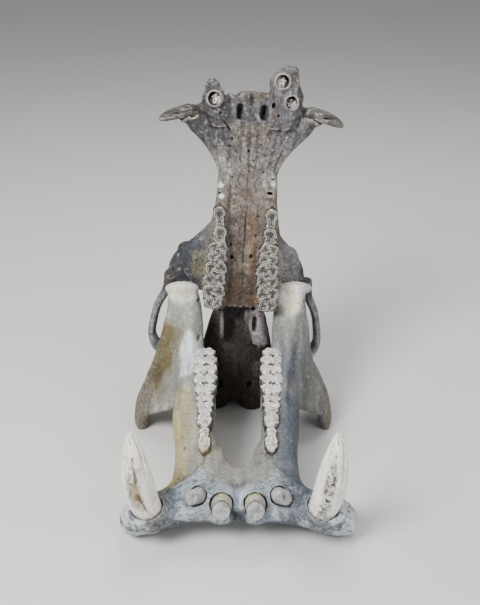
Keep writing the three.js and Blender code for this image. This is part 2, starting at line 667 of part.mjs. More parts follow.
// The manifold's mesh as a named three.js mesh.
function meshOf(name, solid, material) {
  const { numProp, vertProperties, triVerts, numVert } = solid.getMesh();
  const positions = new Float32Array(numVert * 3);
  for (let i = 0; i < numVert; i += 1) {
    positions.set(vertProperties.subarray(i * numProp, i * numProp + 3), i * 3);
  }
  const geometry = new THREE.BufferGeometry();
  geometry.setAttribute("position", new THREE.BufferAttribute(positions, 3));
  geometry.setIndex(new THREE.BufferAttribute(triVerts, 1));
  geometry.computeVertexNormals();
  const mesh = new THREE.Mesh(geometry, material);
  mesh.name = name;
  return mesh;
}

// What lies under the floor, seen from a bone's own frame: it gives the bone its flats to stand on.
function underfloor(group) {
  const ground = new THREE.BoxGeometry(2 * FAR, 2 * FAR, FAR);
  ground.translate(0, 0, -FAR / 2);
  group.updateMatrixWorld(true);
  ground.applyMatrix4(group.matrixWorld.clone().invert());
  return solidOf(ground);
}

const skull = new THREE.Group();
const cranium = new THREE.Group();
const jaw = new THREE.Group();
const degrees = THREE.MathUtils.degToRad;

cranium.rotation.set(-degrees(CRANIUM_LEAN), degrees(CRANIUM_ROLL), 0, "YXZ");
cranium.position
  .set(0, -BASE_HEIGHT, 0)
  .applyEuler(cranium.rotation)
  .add(new THREE.Vector3(CRANIUM_X, CRANIUM_Y, 0));
jaw.rotation.x = degrees(JAW_TILT);
jaw.position.set(JAW_X, JAW_Y, JAW_Z);
skull.add(cranium, jaw);

// The cranium is parted along the lines of its bones.
const whole = wholeCranium().subtract(underfloor(cranium));
const premaxillaBox = (grow) =>
  block([-PREMAXILLA_REACH - grow, -FAR, PREMAXILLA_SEAM - grow], [PREMAXILLA_REACH + grow, FAR, FAR]);
const roofBox = (grow) =>
  block([-FAR, ROOF_SEAM - grow, ROOF_BACK - grow], [FAR, FAR, ROOF_FRONT + grow]);
const cheekBox = (sign, grow) =>
  sign > 0
    ? block([CHEEK_SEAM - grow, -FAR, CHEEK_BACK - grow], [FAR, FAR, CHEEK_FRONT + grow])
    : block([-FAR, -FAR, CHEEK_BACK - grow], [-CHEEK_SEAM + grow, FAR, CHEEK_FRONT + grow]);
const roof = inside(whole, roofBox(0));
cranium.add(meshOf("frontal_roof", roof, FINISHES.head));
const face = whole.subtract(roofBox(SEAM));
const core = without(face, cheekBox(1, SEAM), cheekBox(-1, SEAM));
const frontHalf = block([-FAR, -FAR, MAXILLA_BACK], [FAR, FAR, FAR]);
const rearHalf = block([-FAR, -FAR, -FAR], [FAR, FAR, MAXILLA_BACK - SEAM]);
const canineHoles = SIDES.map((side) => upperCanine(side, SEAM));
for (const side of SIDES) {
  const { name, sign } = side;
  const socketed = without(inside(core, half(sign, SEAM / 2)), ...canineHoles);
  const snout = inside(socketed, premaxillaBox(0));
  const maxilla = inside(socketed.subtract(premaxillaBox(SEAM)), frontHalf);
  cranium.add(meshOf(`premaxilla_${name}`, snout, FINISHES.muzzle));
  cranium.add(meshOf(`maxilla_${name}`, maxilla, FINISHES.muzzle));
  cranium.add(meshOf(`zygomatic_${name}`, inside(face, cheekBox(sign, 0)), FINISHES.cheek));
  cranium.add(meshOf(`upper_canine_${name}`, upperCanine(side), FINISHES.tusk));
  jaw.add(meshOf(`dentary_${name}`, wholeDentary(side).subtract(underfloor(jaw)), FINISHES.jaw));
  jaw.add(meshOf(`lower_canine_${name}`, lowerCanine(side), FINISHES.tusk));
  for (const tooth of LOWER_INCISORS) {
    jaw.add(meshOf(`lower_incisor_${tooth.name}_${name}`, lowerIncisor(sign, tooth), FINISHES.stump));
  }
}
cranium.add(meshOf("braincase", inside(core, rearHalf), FINISHES.head));

const footprint = new THREE.Box3().setFromObject(skull);
const middle = footprint.getCenter(new THREE.Vector3());
for (const bone of [cranium, jaw]) {
  bone.position.x -= middle.x;
  bone.position.y -= middle.y;
}

export default skull;
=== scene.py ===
"""The looks of a weathered hippopotamus skull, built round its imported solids.

Each bone is carved as a field of signed distances in its own frame and then turned into a mesh. The
cranium's frame has X across, Y from the palate up to the top of the head and Z from the condyles to
the snout. The jaw's has X across, F forward from its condyles and H up from the tooth plane. Both
are in millimetres; the meshes are in metres.
"""

import math

import bpy
import numpy as np
import openvdb as vdb
from bpy.props import FloatProperty, FloatVectorProperty, IntProperty, PointerProperty
from mathutils import Matrix, Vector


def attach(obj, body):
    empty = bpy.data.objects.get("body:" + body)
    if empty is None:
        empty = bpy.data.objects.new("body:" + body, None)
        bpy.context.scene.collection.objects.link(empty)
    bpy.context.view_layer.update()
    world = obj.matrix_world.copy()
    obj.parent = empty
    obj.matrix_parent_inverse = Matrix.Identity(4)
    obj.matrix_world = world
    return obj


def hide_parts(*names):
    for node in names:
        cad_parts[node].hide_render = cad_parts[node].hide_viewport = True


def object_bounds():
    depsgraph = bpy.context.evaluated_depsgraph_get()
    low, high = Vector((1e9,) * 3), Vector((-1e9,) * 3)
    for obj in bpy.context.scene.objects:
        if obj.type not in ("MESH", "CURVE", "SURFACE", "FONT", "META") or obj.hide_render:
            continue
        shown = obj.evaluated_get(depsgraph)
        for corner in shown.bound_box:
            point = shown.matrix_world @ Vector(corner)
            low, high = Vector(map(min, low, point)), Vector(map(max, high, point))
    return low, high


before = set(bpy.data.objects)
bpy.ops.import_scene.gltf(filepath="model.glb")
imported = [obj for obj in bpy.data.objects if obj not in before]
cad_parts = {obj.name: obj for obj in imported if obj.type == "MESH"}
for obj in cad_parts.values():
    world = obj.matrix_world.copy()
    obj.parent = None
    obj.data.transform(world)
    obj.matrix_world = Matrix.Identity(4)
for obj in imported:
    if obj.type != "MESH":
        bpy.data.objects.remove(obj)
CAD_BOX = [list(corner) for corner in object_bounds()]

bl_info = {
    "name": "Hippopotamus Skull",
    "version": (1, 0, 0),
    "blender": (4, 5, 0),
    "location": "3D View > Sidebar > Skull",
    "description": "Builds a life-size hippopotamus skull in two pieces, with its teeth and stage",
    "category": "Add Mesh",
}

MM = 0.001
BODY = "root"
SIDES = {"left": 1.0, "right": -1.0}
# How far the skins stay inside the solids' box, in metres.
INSET = 0.0002

# ---- frames

CRANIUM_FRAME = (
    Matrix.Translation(Vector((-5.43086, 62.92450, 14.76821)))
    @ Matrix.Rotation(math.radians(3.3), 4, "Y")
    @ Matrix.Rotation(math.radians(-12.2), 4, "X")
)
JAW_FRAME = (
    Matrix.Translation(Vector((5.21761, 180.34361, 214.0)))
    @ Matrix.Rotation(math.radians(14.6), 4, "X")
    @ Matrix.Diagonal((1, -1, 1, 1))
)


def to_part(points, bone_frame):
    """Points in a bone's own frame, in millimetres, as points of the part, in metres."""
    m = np.array(bone_frame)
    return (points @ m[:3, :3].T + m[:3, 3]) * MM


def linear(code):
    """A hex colour as linear values."""
    values = [int(code[i : i + 2], 16) / 255 for i in (1, 3, 5)]
    return [v / 12.92 if v <= 0.04045 else ((v + 0.055) / 1.055) ** 2.4 for v in values]


# ---- sections, as in the solids
# Each row: at, centre, half, low, mid, high, lean, square.

MUZZLE = (
    (246, 0, 58, 2, 36, 138, 0, 3.0),
    (300, 0, 62, 2, 40, 148, 0, 3.0),
    (360, 0, 57, 2, 42, 132, 0, 3.0),
    (420, 0, 49, 2, 42, 116, 0, 3.0),
    (470, 0, 55, 2, 40, 110, 0, 3.0),
    (505, 0, 57, 2, 38, 108, 0, 2.8),
    (535, 0, 69, 2, 36, 107, 0, 2.6),
    (560, 0, 88, 2, 36, 105, 0, 2.5),
    (585, 0, 112, 3, 38, 101, 0, 2.4),
    (604, 0, 124, 4, 40, 93, 0, 2.3),
    (622, 0, 116, 6, 40, 82, 0, 2.3),
    (640, 0, 90, 6, 38, 72, 0, 2.3),
)
CHEEK = (
    (430, 0, 48, 18, 60, 104, 0, 2.6),
    (405, 0, 66, 26, 64, 112, 0, 2.6),
    (372, 0, 95, 34, 74, 126, 0, 2.6),
    (345, 0, 124, 42, 84, 142, 0, 2.6),
    (318, 0, 144, 50, 92, 152, 0, 2.7),
    (290, 0, 151, 58, 96, 156, 0, 2.8),
    (262, 0, 149, 68, 98, 150, 0, 2.8),
)
BRAINCASE = (
    (264, 0, 96, 62, 120, 162, 0, 2.6),
    (238, 0, 58, 58, 112, 162, 0, 2.4),
    (205, 0, 47, 58, 108, 160, 0, 2.2),
    (165, 0, 52, 60, 106, 160, 0, 2.2),
    (125, 0, 66, 62, 104, 164, 0, 2.2),
    (85, 0, 84, 64, 108, 171, 0, 2.3),
    (52, 0, 106, 66, 116, 180, 0, 2.5),
    (30, 0, 110, 72, 124, 187, 0, 2.6),
    (22, 0, 96, 82, 128, 184, 0, 2.6),
)
INCISIVE_PLATE = (
    (600, 0, 66, 6, 22, 42, 0, 3),
    (640, 0, 56, 7, 22, 40, 0, 3),
    (658, 0, 44, 8, 20, 34, 0, 3),
    (664, 0, 26, 12, 20, 28, 0, 3),
)
PREMAXILLA = {
    "left": (
        (596, 56, 34, -2, 26, 66, 0, 2.4),
        (640, 62, 32, -6, 22, 54, 0, 2.4),
        (662, 62, 31, -8, 18, 44, 0, 2.4),
        (688, 58, 27, -9, 14, 36, 0, 2.4),
        (705, 65, 19, -6, 12, 30, 0, 2.2),
        (714, 69, 8, 2, 10, 20, 0, 2),
    ),
    "right": (
        (596, 58, 34, -2, 26, 66, 0, 2.4),
        (634, 67, 28, -6, 22, 54, 0, 2.4),
        (652, 71, 20, -6, 18, 42, 0, 2.4),
        (668, 73, 14, -2, 14, 32, 0, 2.2),
        (682, 77, 6, 6, 12, 20, 0, 2),
        (686, 78, 2, 10, 12, 15, 0, 2),
    ),
}
TOOTH_RIDGE = (
    (243, 52, 20, -3, 12, 34, 0, 3),
    (300, 54, 24, -9, 12, 38, 0, 3),
    (380, 51, 20, -8, 12, 40, 0, 3),
    (450, 46, 14, -6, 12, 40, 0, 3),
    (500, 44, 12, -3, 12, 40, 0, 3),
    (518, 43, 6, 4, 14, 30, 0, 3),
)
PTERYGOID = {
    "left": (
        (262, 40, 19, 6, 30, 70, 0, 3),
        (228, 27, 22, 2, 34, 74, 0, 3),
        (200, 36, 20, 0, 38, 76, 0, 3),
        (176, 45, 19, 0, 42, 76, 0, 3),
        (164, 44, 15, 8, 52, 76, 0, 3),
    ),
    "right": (
        (262, 42, 9, 6, 30, 70, 0, 3),
        (225, 36, 6, 14, 34, 74, 0, 3),
        (185, 33, 5, 26, 40, 76, 0, 3),
        (168, 32, 4, 44, 52, 76, 0, 3),
    ),
}
JAW_BODY = (
    (86, 90, 16, -66, -20, 8, 0, 2.4),
    (112, 87, 25, -84, -34, 1, 0, 2.6),
    (150, 83, 33, -96, -46, -5, 0, 2.8),
    (200, 84, 39, -105, -54, -7, 0, 2.8),
    (250, 85, 40, -108, -58, -8, 0, 2.8),
    (300, 81, 37, -106, -56, -9, 0, 2.8),
    (340, 78, 37, -98, -52, -10, 0, 2.8),
    (375, 78, 38, -90, -50, -12, 0, 2.8),
    (405, 78, 43, -82, -48, -14, 0, 2.8),
    (440, 86, 58, -72, -46, -16, 0, 2.8),
    (462, 86, 52, -60, -42, -22, 0, 2.8),
)
JAW_FRONT = (
    (-4, 424, 55, -58, -42, -27, 0.4, 2.6),
    (19, 415, 64, -57, -42, -25, 0.4, 2.6),
    (33, 399, 80, -60, -43, -20, 0.4, 2.6),
    (46, 395, 84, -62, -44, -16, 0.4, 2.6),
    (80, 438, 43, -72, -46, -14, 0.4, 2.8),
    (110, 446, 36, -88, -50, -14, 0.4, 2.8),
    (150, 452, 38, -110, -56, -18, 0.35, 2.6),
    (180, 457, 34, -111, -60, -28, 0.35, 2.5),
    (196, 460, 25, -94, -62, -38, 0.35, 2.4),
    (204, 461, 12, -78, -62, -48, 0.35, 2.2),
)
RAMUS = (
    (66, 111, 29, -9, 4, 18, 0, 2.4),
    (45, 108, 32, 0, 16, 46, -0.05, 2.4),
    (20, 107, 36, 14, 44, 88, -0.14, 2.4),
    (0, 109, 38, 24, 64, 114, -0.18, 2.4),
    (-22, 112, 35, 34, 76, 144, -0.2, 2.4),
    (-52, 118, 25, 42, 90, 172, -0.18, 2.4),
    (-86, 140, 22, 48, 102, 186, -0.2, 2.3),
    (-110, 160, 19, 56, 108, 178, -0.12, 2.3),
    (-140, 181, 17, 74, 116, 164, 0, 2.4),
    (-164, 188, 16, 96, 132, 166, 0, 2.4),
    (-181, 188, 12, 118, 145, 166, 0, 2.2),
)
# Bars and tusks. Each row: a point and its two half sizes.
ARCH = (
    (0.8, 98, 285, 15, 26),
    (0.85, 101, 252, 9.5, 21),
    (0.945, 103, 218, 8.5, 18),
    (0.99, 104, 184, 8.5, 18),
    (1.0, 105, 150, 9, 18),
    (0.9, 107, 124, 13, 20),
    (0.66, 108, 112, 17, 22),
    (0.3, 108, 106, 20, 24),
)
UPPER_CANINE = (
    (104, 26, 620, 13, 13),
    (118, 16, 621, 14, 14),
    (140, 0, 617, 12, 12),
    (162, -13, 610, 9, 9),
    (175, -20, 606, 4, 4),
)
UPPER_CANINE_TUBE = (
    (62, 50, 592, 24, 34),
    (94, 34, 606, 22, 28),
    (116, 20, 614, 17, 19),
    (132, 9, 613, 13.5, 13),
)
LOWER_CANINE = (
    (146, 463, -56, 20, 22),
    (152, 470, -30, 23, 25),
    (161.5, 472, 12, 26, 27),
    (169, 462, 58, 25.5, 26),
    (174, 445, 98, 18, 20),
    (178, 426, 126, 6, 9),
)
# Lower incisors: root, socket's mouth, worn end, half width at the mouth and at the end, socket's wall.
LOWER_INCISORS = {
    "1": ((28, 426, -34), (28.3, 464, -15), (29, 487, -5), 17.5, 15.0, 22.5),
    "2": ((57, 423, -31), (70, 451, -10), (81, 461, -1), 13.6, 12.6, 18.0),
}
ARCH_REACH = {"left": 166, "right": 178}
CHEEK_REACH = {"left": 0.86, "right": 1.0}
CANINE_LIFT = {"left": 6, "right": 0}
TUSK_SHIFT = {"left": -14, "right": -2}
JAW_BREADTH = {"left": 0.93, "right": 1.0}
JAW_FLARE = {"left": 0.955, "right": 1.095}
RAMUS_BREADTH = {"left": 0.955, "right": 1.02}
NECK = 112

# Where one bone of the cranium ends and the next begins.
PREMAXILLA_REACH = 92
MAXILLA_BACK = 246
CHEEK_SEAM = 100
CHEEK_FRONT = 372
CHEEK_BACK = 88
ROOF_SEAM = 128
ROOF_FRONT = 380
ROOF_BACK = 228

# ---- curves and lofts


def follow(rows, at):
    """The values of a table of stations at the places between them, on smooth curves."""
    t = np.asarray(rows, float)
    place = t[:, 0]
    if place[0] > place[-1]:
        t, place = t[::-1], place[::-1]
    last = len(t) - 1
    i = np.clip(np.searchsorted(place, at, side="right") - 1, 0, last - 1)
    before, after = np.maximum(i - 1, 0), np.minimum(i + 2, last)
    p, q = t[i], t[i + 1]
    span = (q[:, 0] - p[:, 0])[:, None]
    u = np.clip((at - p[:, 0])[:, None] / span, 0, 1)
    enter = (q - t[before]) / (q[:, :1] - t[before][:, :1]) * span
    leave = (t[after] - p) / (t[after][:, :1] - p[:, :1]) * span
    u2, u3 = u * u, u * u * u
    return (
        (2 * u3 - 3 * u2 + 1) * p + (u3 - 2 * u2 + u) * enter + (3 * u2 - 2 * u3) * q + (u3 - u2) * leave
    )


def closed_rings(rings):
    """Points, quads and triangles of a closed tube through rings of points, with a flat pole each end."""
    rows, around = rings.shape[:2]
    points = np.concatenate([rings.reshape(-1, 3), rings[:1].mean(1), rings[-1:].mean(1)])
    i = np.arange(rows - 1)[:, None] * around
    j = np.arange(around)[None, :]
    k = (j + 1) % around
    quads = np.stack([i + j, i + k, i + around + k, i + around + j], -1).reshape(-1, 4)
    first, last = rows * around, rows * around + 1
    end = (rows - 1) * around
    start_cap = np.stack([k[0], j[0], np.full(around, first)], -1)
    end_cap = np.stack([end + j[0], end + k[0], np.full(around, last)], -1)
    return points, quads, np.concatenate([start_cap, end_cap])


def loft(rows, place, around=72, along=90):
    """A bone lofted through stations; place turns (at, across, level) into its three coordinates."""
    at = np.linspace(min(rows[0][0], rows[-1][0]), max(rows[0][0], rows[-1][0]), along)
    s = follow(rows, at)[:, :, None]
    angle = np.linspace(0, 2 * math.pi, around, endpoint=False)[None, :]
    c, n = np.cos(angle), np.sin(angle)
    power = 2 / s[:, 7]
    across = s[:, 2] * np.sign(c) * np.abs(c) ** power
    reach = np.where(n < 0, s[:, 4] - s[:, 3], s[:, 5] - s[:, 4])
    level = s[:, 4] + reach * np.sign(n) * np.abs(n) ** power
    across = s[:, 1] + across + s[:, 6] * (level - s[:, 4])
    rings = np.stack(place(np.broadcast_to(at[:, None], across.shape), across, level), -1)
    return closed_rings(rings)


def spine(points, along):
    """Points on a smooth curve through the given ones, its directions and its shares of the way."""
    p = np.asarray(points, float)
    steps = np.linspace(0, len(p) - 1, along)
    rows = np.column_stack([np.arange(len(p)), p])
    line = follow(rows, steps)[:, 1:]
    return line, np.gradient(line, axis=0), steps / (len(p) - 1)


def bar(stops, side=(1, 0, 0), around=40, along=60, grow=0.0):
    """A bar or tusk along a smooth curve, an ellipse in section."""
    stops = np.asarray(stops, float)
    line, forward, share = spine(stops[:, :3], along)
    rows = np.column_stack([np.linspace(0, 1, len(stops)), stops[:, 3:5]])
    sizes = follow(rows, share)[:, 1:] + grow
    forward /= np.linalg.norm(forward, axis=1)[:, None]
    up = np.cross(forward, np.asarray(side, float))
    up /= np.linalg.norm(up, axis=1)[:, None]
    across = np.cross(up, forward)
    angle = np.linspace(0, 2 * math.pi, around, endpoint=False)
    c, n = np.cos(angle)[None, :, None], np.sin(angle)[None, :, None]
    rings = line[:, None] + across[:, None] * sizes[:, None, :1] * c + up[:, None] * sizes[:, None, 1:] * n
    return closed_rings(rings)


def sided(rows, sign):
    """The stations of one side: their centres and leans turn with it."""
    return [(at, sign * c, half, *depths, sign * lean, sq) for at, c, half, *depths, lean, sq in rows]


def box_on(side, low, high):
    """A box given for the left side, turned over for the right one."""
    if side == "left":
        return low, high
    return (-high[0], *low[1:]), (-low[0], *high[1:])


# ---- noise

LATTICE = np.random.default_rng(7).random(1 << 16).astype(np.float32) * 2 - 1
# Large primes, one for each axis, that spread neighbouring cells over the lattice's values.
SPREAD = (73856093, 19349663, 83492791)


def noise(points, size, seed=0):
    """Smooth random values from -1 to 1 at points, with lumps about that size."""
    p = np.asarray(points, np.float32) / size + 19.37 * seed
    cell = np.floor(p)
    f = p - cell
    f = f * f * (3 - 2 * f)
    i = cell.astype(np.int64)
    keys = [i[..., a] * prime for a, prime in enumerate(SPREAD)]
    total = 0
    for corner in range(8):
        bits = [(corner >> a) & 1 for a in range(3)]
        key = 0
        weight = 1
        for a, bit in enumerate(bits):
            key = key ^ (keys[a] + bit * SPREAD[a])
            weight = weight * (f[..., a] if bit else 1 - f[..., a])
        total = total + weight * LATTICE[key & (len(LATTICE) - 1)]
    return total


def layered(points, size, seed=0, octaves=3):
    """Noise with finer lumps on coarser ones."""
    return sum(noise(points, size / 2**k, seed + k) / 2**k for k in range(octaves)) / 1.6


# ---- distance fields


def smooth_min(a, b, k):
    """The smaller of two fields, rounded over where they are closer than k."""
    h = np.clip(0.5 + 0.5 * (a - b) / k, 0, 1)
    return a + (b - a) * h - k * h * (1 - h)


class Field:
    """Signed distances in millimetres on a grid in a bone's own frame, negative inside the bone."""

    def __init__(self, low, high, step, reach=12.0):
        self.step, self.reach = step, reach
        self.first = np.floor(np.asarray(low) / step).astype(int)
        self.shape = np.ceil(np.asarray(high) / step).astype(int) - self.first + 1
        self.d = np.full(self.shape, reach, np.float32)

    def window(self, low, high):
        """The slices of a box, and its coordinates ready to broadcast."""
        a = np.clip(np.floor(np.asarray(low) / self.step).astype(int) - self.first, 0, self.shape)
        b = np.clip(np.ceil(np.asarray(high) / self.step).astype(int) - self.first + 1, 0, self.shape)
        cut = tuple(slice(m, n) for m, n in zip(a, b))
        axes = np.ogrid[cut]
        return cut, [((axis + self.first[i]) * self.step).astype(np.float32) for i, axis in enumerate(axes)]

    def whole(self):
        """The coordinates of the whole grid, ready to broadcast."""
        return self.window(self.first * self.step, (self.first + self.shape) * self.step)[1]

    def join(self, cut, block, blend, carve=False):
        """Blends distances into a window of the field, or carves them out of it."""
        here = self.d[cut]
        self.d[cut] = -smooth_min(-here, block, blend) if carve else smooth_min(here, block, blend)

    def distances(self, shape):
        """The window and signed distances of a closed mesh."""
        points, quads, tris = shape
        scale = vdb.createLinearTransform(voxelSize=self.step)
        grid = vdb.FloatGrid.createLevelSetFromPolygons(
            points.astype(np.float32),
            triangles=tris.astype(np.uint32),
            quads=quads.astype(np.uint32),
            transform=scale,
            halfWidth=self.reach / self.step,
        )
        cut, _ = self.window(points.min(0) - self.reach, points.max(0) + self.reach)
        block = np.empty([s.stop - s.start for s in cut], np.float32)
        grid.copyToArray(block, ijk=tuple(int(s.start + f) for s, f in zip(cut, self.first)))
        return cut, block

    def add(self, shape, blend=6.0, side=0):
        """Joins a mesh on, or only its part on one side of the middle plane."""
        cut, block = self.distances(shape)
        if side:
            x = (np.arange(cut[0].start, cut[0].stop) + self.first[0]) * self.step
            block = np.maximum(block, np.clip(-side * x, -self.reach, self.reach)[:, None, None])
        self.join(cut, block, blend)

    def cut_out(self, shape, blend):
        """Carves a mesh out."""
        cut, block = self.distances(shape)
        self.join(cut, block, blend, carve=True)

    def egg(self, centre, radii, turn=0.0, blend=5.0, cut=False):
        """Adds or cuts an egg shape, turned about the frame's X."""
        c, r = np.asarray(centre, float), np.asarray(radii, float)
        far = max(r) + self.reach
        box, (x, y, z) = self.window(c - far, c + far)
        x, y, z = x - c[0], y - c[1], z - c[2]
        co, si = math.cos(turn), math.sin(turn)
        y, z = co * y + si * z, -si * y + co * z
        q = np.sqrt((x / r[0]) ** 2 + (y / r[1]) ** 2 + (z / r[2]) ** 2)
        g = np.sqrt((x / r[0] ** 2) ** 2 + (y / r[1] ** 2) ** 2 + (z / r[2] ** 2) ** 2) + 1e-6
        d = (q * (q - 1) / g).astype(np.float32)
        self.join(box, np.clip(d, -self.reach, self.reach), blend, cut)

    def rod(self, points, radii, blend=2.0, cut=False):
        """Adds or cuts a rod of varying thickness along a broken line."""
        points, radii = np.asarray(points, float), np.asarray(radii, float)
        for p, q, r, s in zip(points[:-1], points[1:], radii[:-1], radii[1:]):
            far = max(r, s) + 2 * blend + 2
            box, (x, y, z) = self.window(np.minimum(p, q) - far, np.maximum(p, q) + far)
            v = q - p
            squared = max(float(v @ v), 1e-6)
            t = np.clip(((x - p[0]) * v[0] + (y - p[1]) * v[1] + (z - p[2]) * v[2]) / squared, 0, 1)
            gap = (x - p[0] - t * v[0]) ** 2 + (y - p[1] - t * v[1]) ** 2 + (z - p[2] - t * v[2]) ** 2
            self.join(box, np.sqrt(gap) - (r + (s - r) * t), blend, cut)

    def bite(self, centre, radii, blend, turn=0.0):
        """Cuts out an egg shape."""
        self.egg(centre, radii, turn, blend, cut=True)

    def groove(self, points, radii, blend):
        """Cuts out a rod."""
        self.rod(points, radii, blend, cut=True)

    def slice(self, point, normal, blend=1.0):
        """Takes away what lies beyond a plane."""
        n = np.asarray(normal, float)
        n = n / np.linalg.norm(n)
        x, y, z = self.whole()
        beyond = (x - point[0]) * n[0] + (y - point[1]) * n[1] + (z - point[2]) * n[2]
        beyond = np.clip(beyond, -self.reach, self.reach)
        self.d = -smooth_min(-self.d, -beyond, blend).astype(np.float32)

    def ring(self, centre, normal, radius, thick, blend=2.0, turns=18):
        """Adds a ring as a round of short rods."""
        n = np.asarray(normal, float)
        n = n / np.linalg.norm(n)
        slanted = (0.3, 0.9, 0.2)
        a = np.cross(n, slanted)
        a = a / np.linalg.norm(a)
        b = np.cross(n, a)
        angles = np.linspace(0, 2 * math.pi, turns + 1)
        points = [np.asarray(centre) + radius * (math.cos(t) * a + math.sin(t) * b) for t in angles]
        self.rod(points, [thick] * (turns + 1), blend)

    def soften(self, times=1):
        """A light blur that takes the last hard creases off."""
        for _ in range(times):
            for axis in range(3):
                d = np.moveaxis(self.d, axis, 0)
                d[1:-1] = 0.25 * d[:-2] + 0.5 * d[1:-1] + 0.25 * d[2:]

    def relief(self, height, low, high, top):
        """Raises (over 0) or sinks the skin inside a box by height(x, z) millimetres, less and less
        over the last 6 mm below the level top."""
        cut, (x, level, z) = self.window(low, high)
        weight = np.clip((top - level) / 6, 0, 1)
        self.d[cut] -= (height(x, z) * weight).astype(np.float32)

    def mesh(self, mask=None, window=None):
        """Points and quads of the skin, of a window or of what lies inside a mask field too."""
        cut = window or tuple(slice(0, n) for n in self.shape)
        d = self.d[cut]
        if mask is not None:
            d = np.maximum(d, mask)
        grid = vdb.FloatGrid(self.reach)
        grid.transform = vdb.createLinearTransform(voxelSize=self.step)
        start = tuple(int(s.start + f) for s, f in zip(cut, self.first))
        grid.copyFromArray(np.ascontiguousarray(d), ijk=start)
        points, _, quads = grid.convertToPolygons(isovalue=0.0, adaptivity=0.0)
        return points, quads[:, ::-1]


def line_gap(points, u, v):
    """Distance from (u, v) to a broken line."""
    best = None
    for (a, b), (c, d) in zip(points[:-1], points[1:]):
        du, dv = c - a, d - b
        t = np.clip(((u - a) * du + (v - b) * dv) / max(du * du + dv * dv, 1e-6), 0, 1)
        gap = np.hypot(u - a - t * du, v - b - t * dv)
        best = gap if best is None else np.minimum(best, gap)
    return best


def ramp(value, start, end):
    """Rises smoothly from 0 at the start to 1 at the end."""
    t = np.clip((value - start) / (end - start), 0, 1)
    return t * t * (3 - 2 * t)


def fade(value, start, end):
    """Falls smoothly from 1 at the start to 0 at the end."""
    return 1 - ramp(value, start, end)


def bump(gap, width):
    """One at a distance of 0, falling smoothly to 0 at that width."""
    t = np.clip(1 - gap / width, 0, 1)
    return t * t * (3 - 2 * t)


def spots(points, size, seed, start, end):
    """Soft spots about that size: 1 where noise is over the end, 0 where it is under the start."""
    return ramp(layered(points, size, seed), start, end)


def stretched(points, x, y, z):
    """Points squeezed along the axes, so that noise taken there is drawn out the other way."""
    return points * np.array((x, y, z))


# ---- the cranium's shape


def cranium_section(at, across, level):
    """A station's place, breadth and level as coordinates of the cranium."""
    return across, level, at


def canine_stops(rows, side):
    """The stops of an upper canine or its tube, on one side."""
    sign, lift = SIDES[side], CANINE_LIFT[side]
    return [(sign * x, y, z + lift, wide, deep) for x, y, z, wide, deep in rows]


# Openings and ragged edges of the left pterygoid plate: centre, radii, turn and blend.
PTERYGOID_CUTS = (
    ((30, -4, 214), (6, 26, 18), -0.12, 3),
    ((25, 8, 166), (14, 24, 17), 0.5, 2),
    ((8, 8, 196), (9, 24, 14), 0.2, 2),
    ((46, 8, 156), (4, 24, 7), 0.0, 2),
)


def cranium_field(step):
    """The whole cranium in one field: masses first, then hollows, then the marks on its surface."""
    f = Field((-194, -32, -6), (194, 206, 722), step)
    for side, sign in SIDES.items():
        reach = CHEEK_REACH[side]
        f.egg((sign * 112 * reach, 152, 296), (34, 44, 48))
        f.egg((sign * 76 * reach, 150, 280), (44, 26, 48), blend=10)
        f.bite((sign * 146 * reach, 158, 298), (38, 28, 34), 6)
        f.add(loft(sided(PTERYGOID[side], sign), cranium_section), 2)
    for centre, radii, turn, blend in PTERYGOID_CUTS:
        f.bite(centre, radii, blend, turn)
    f.add(loft(MUZZLE, cranium_section), 4)
    f.add(loft(BRAINCASE, cranium_section), 14)
    f.add(loft(INCISIVE_PLATE, cranium_section), 5)
    for side, sign in SIDES.items():
        reach = CHEEK_REACH[side]
        cheek = [(at, c, half * reach, *rest) for at, c, half, *rest in CHEEK]
        f.add(loft(cheek, cranium_section), 12, side=sign)
        f.add(loft(sided(PREMAXILLA[side], sign), cranium_section), 5)
        f.add(bar(canine_stops(UPPER_CANINE_TUBE, side), (0, 1, 0)), 8)
        f.add(loft(sided(TOOTH_RIDGE, sign), cranium_section), 6)
        stops = [(sign * ARCH_REACH[side] * share, y, z, w, d) for share, y, z, w, d in ARCH]
        f.add(bar(stops), 8)
        f.egg((sign * 36, 90, 22), (26, 24, 24), blend=6)
        f.egg((sign * 66, 66, 34), (13, 26, 16), blend=8)
        f.egg((sign * 46, 58, 100), (15, 14, 20), blend=5)
        f.bite((sign * 50, 152, 4), (44, 26, 27), 8)
    f.bite((0, 66, 655), (34, 25, 76), 6)
    f.bite((0, 36, 214), (24, 26, 46), 5)
    f.bite((0, 104, 10), (17, 15, 26), 4)
    head_details(f)
    snout_details(f)
    palate_details(f)
    f.soften(1)
    return f


# The palate's scalloped back edge: across, along and radius of each bay.
PALATE_BAYS = ((-27, 243, 5), (-16, 245, 4), (-5, 243, 6), (7, 246, 4), (15, 243, 5), (26, 245, 4))
# Hollows and openings on both sides of the head: centre, radii and blend.
HEAD_HOLLOWS = (
    ((82, 128, 190), (26, 40, 60), 16),
    ((30, 70, 62), (6, 10, 8), 2),
    ((60, 70, 70), (8, 10, 10), 2),
    ((84, 84, 108), (30, 9, 15), 6),
    ((26, 52, 128), (7, 10, 11), 2),
    ((96, 118, 342), (8, 7, 14), 3),
)


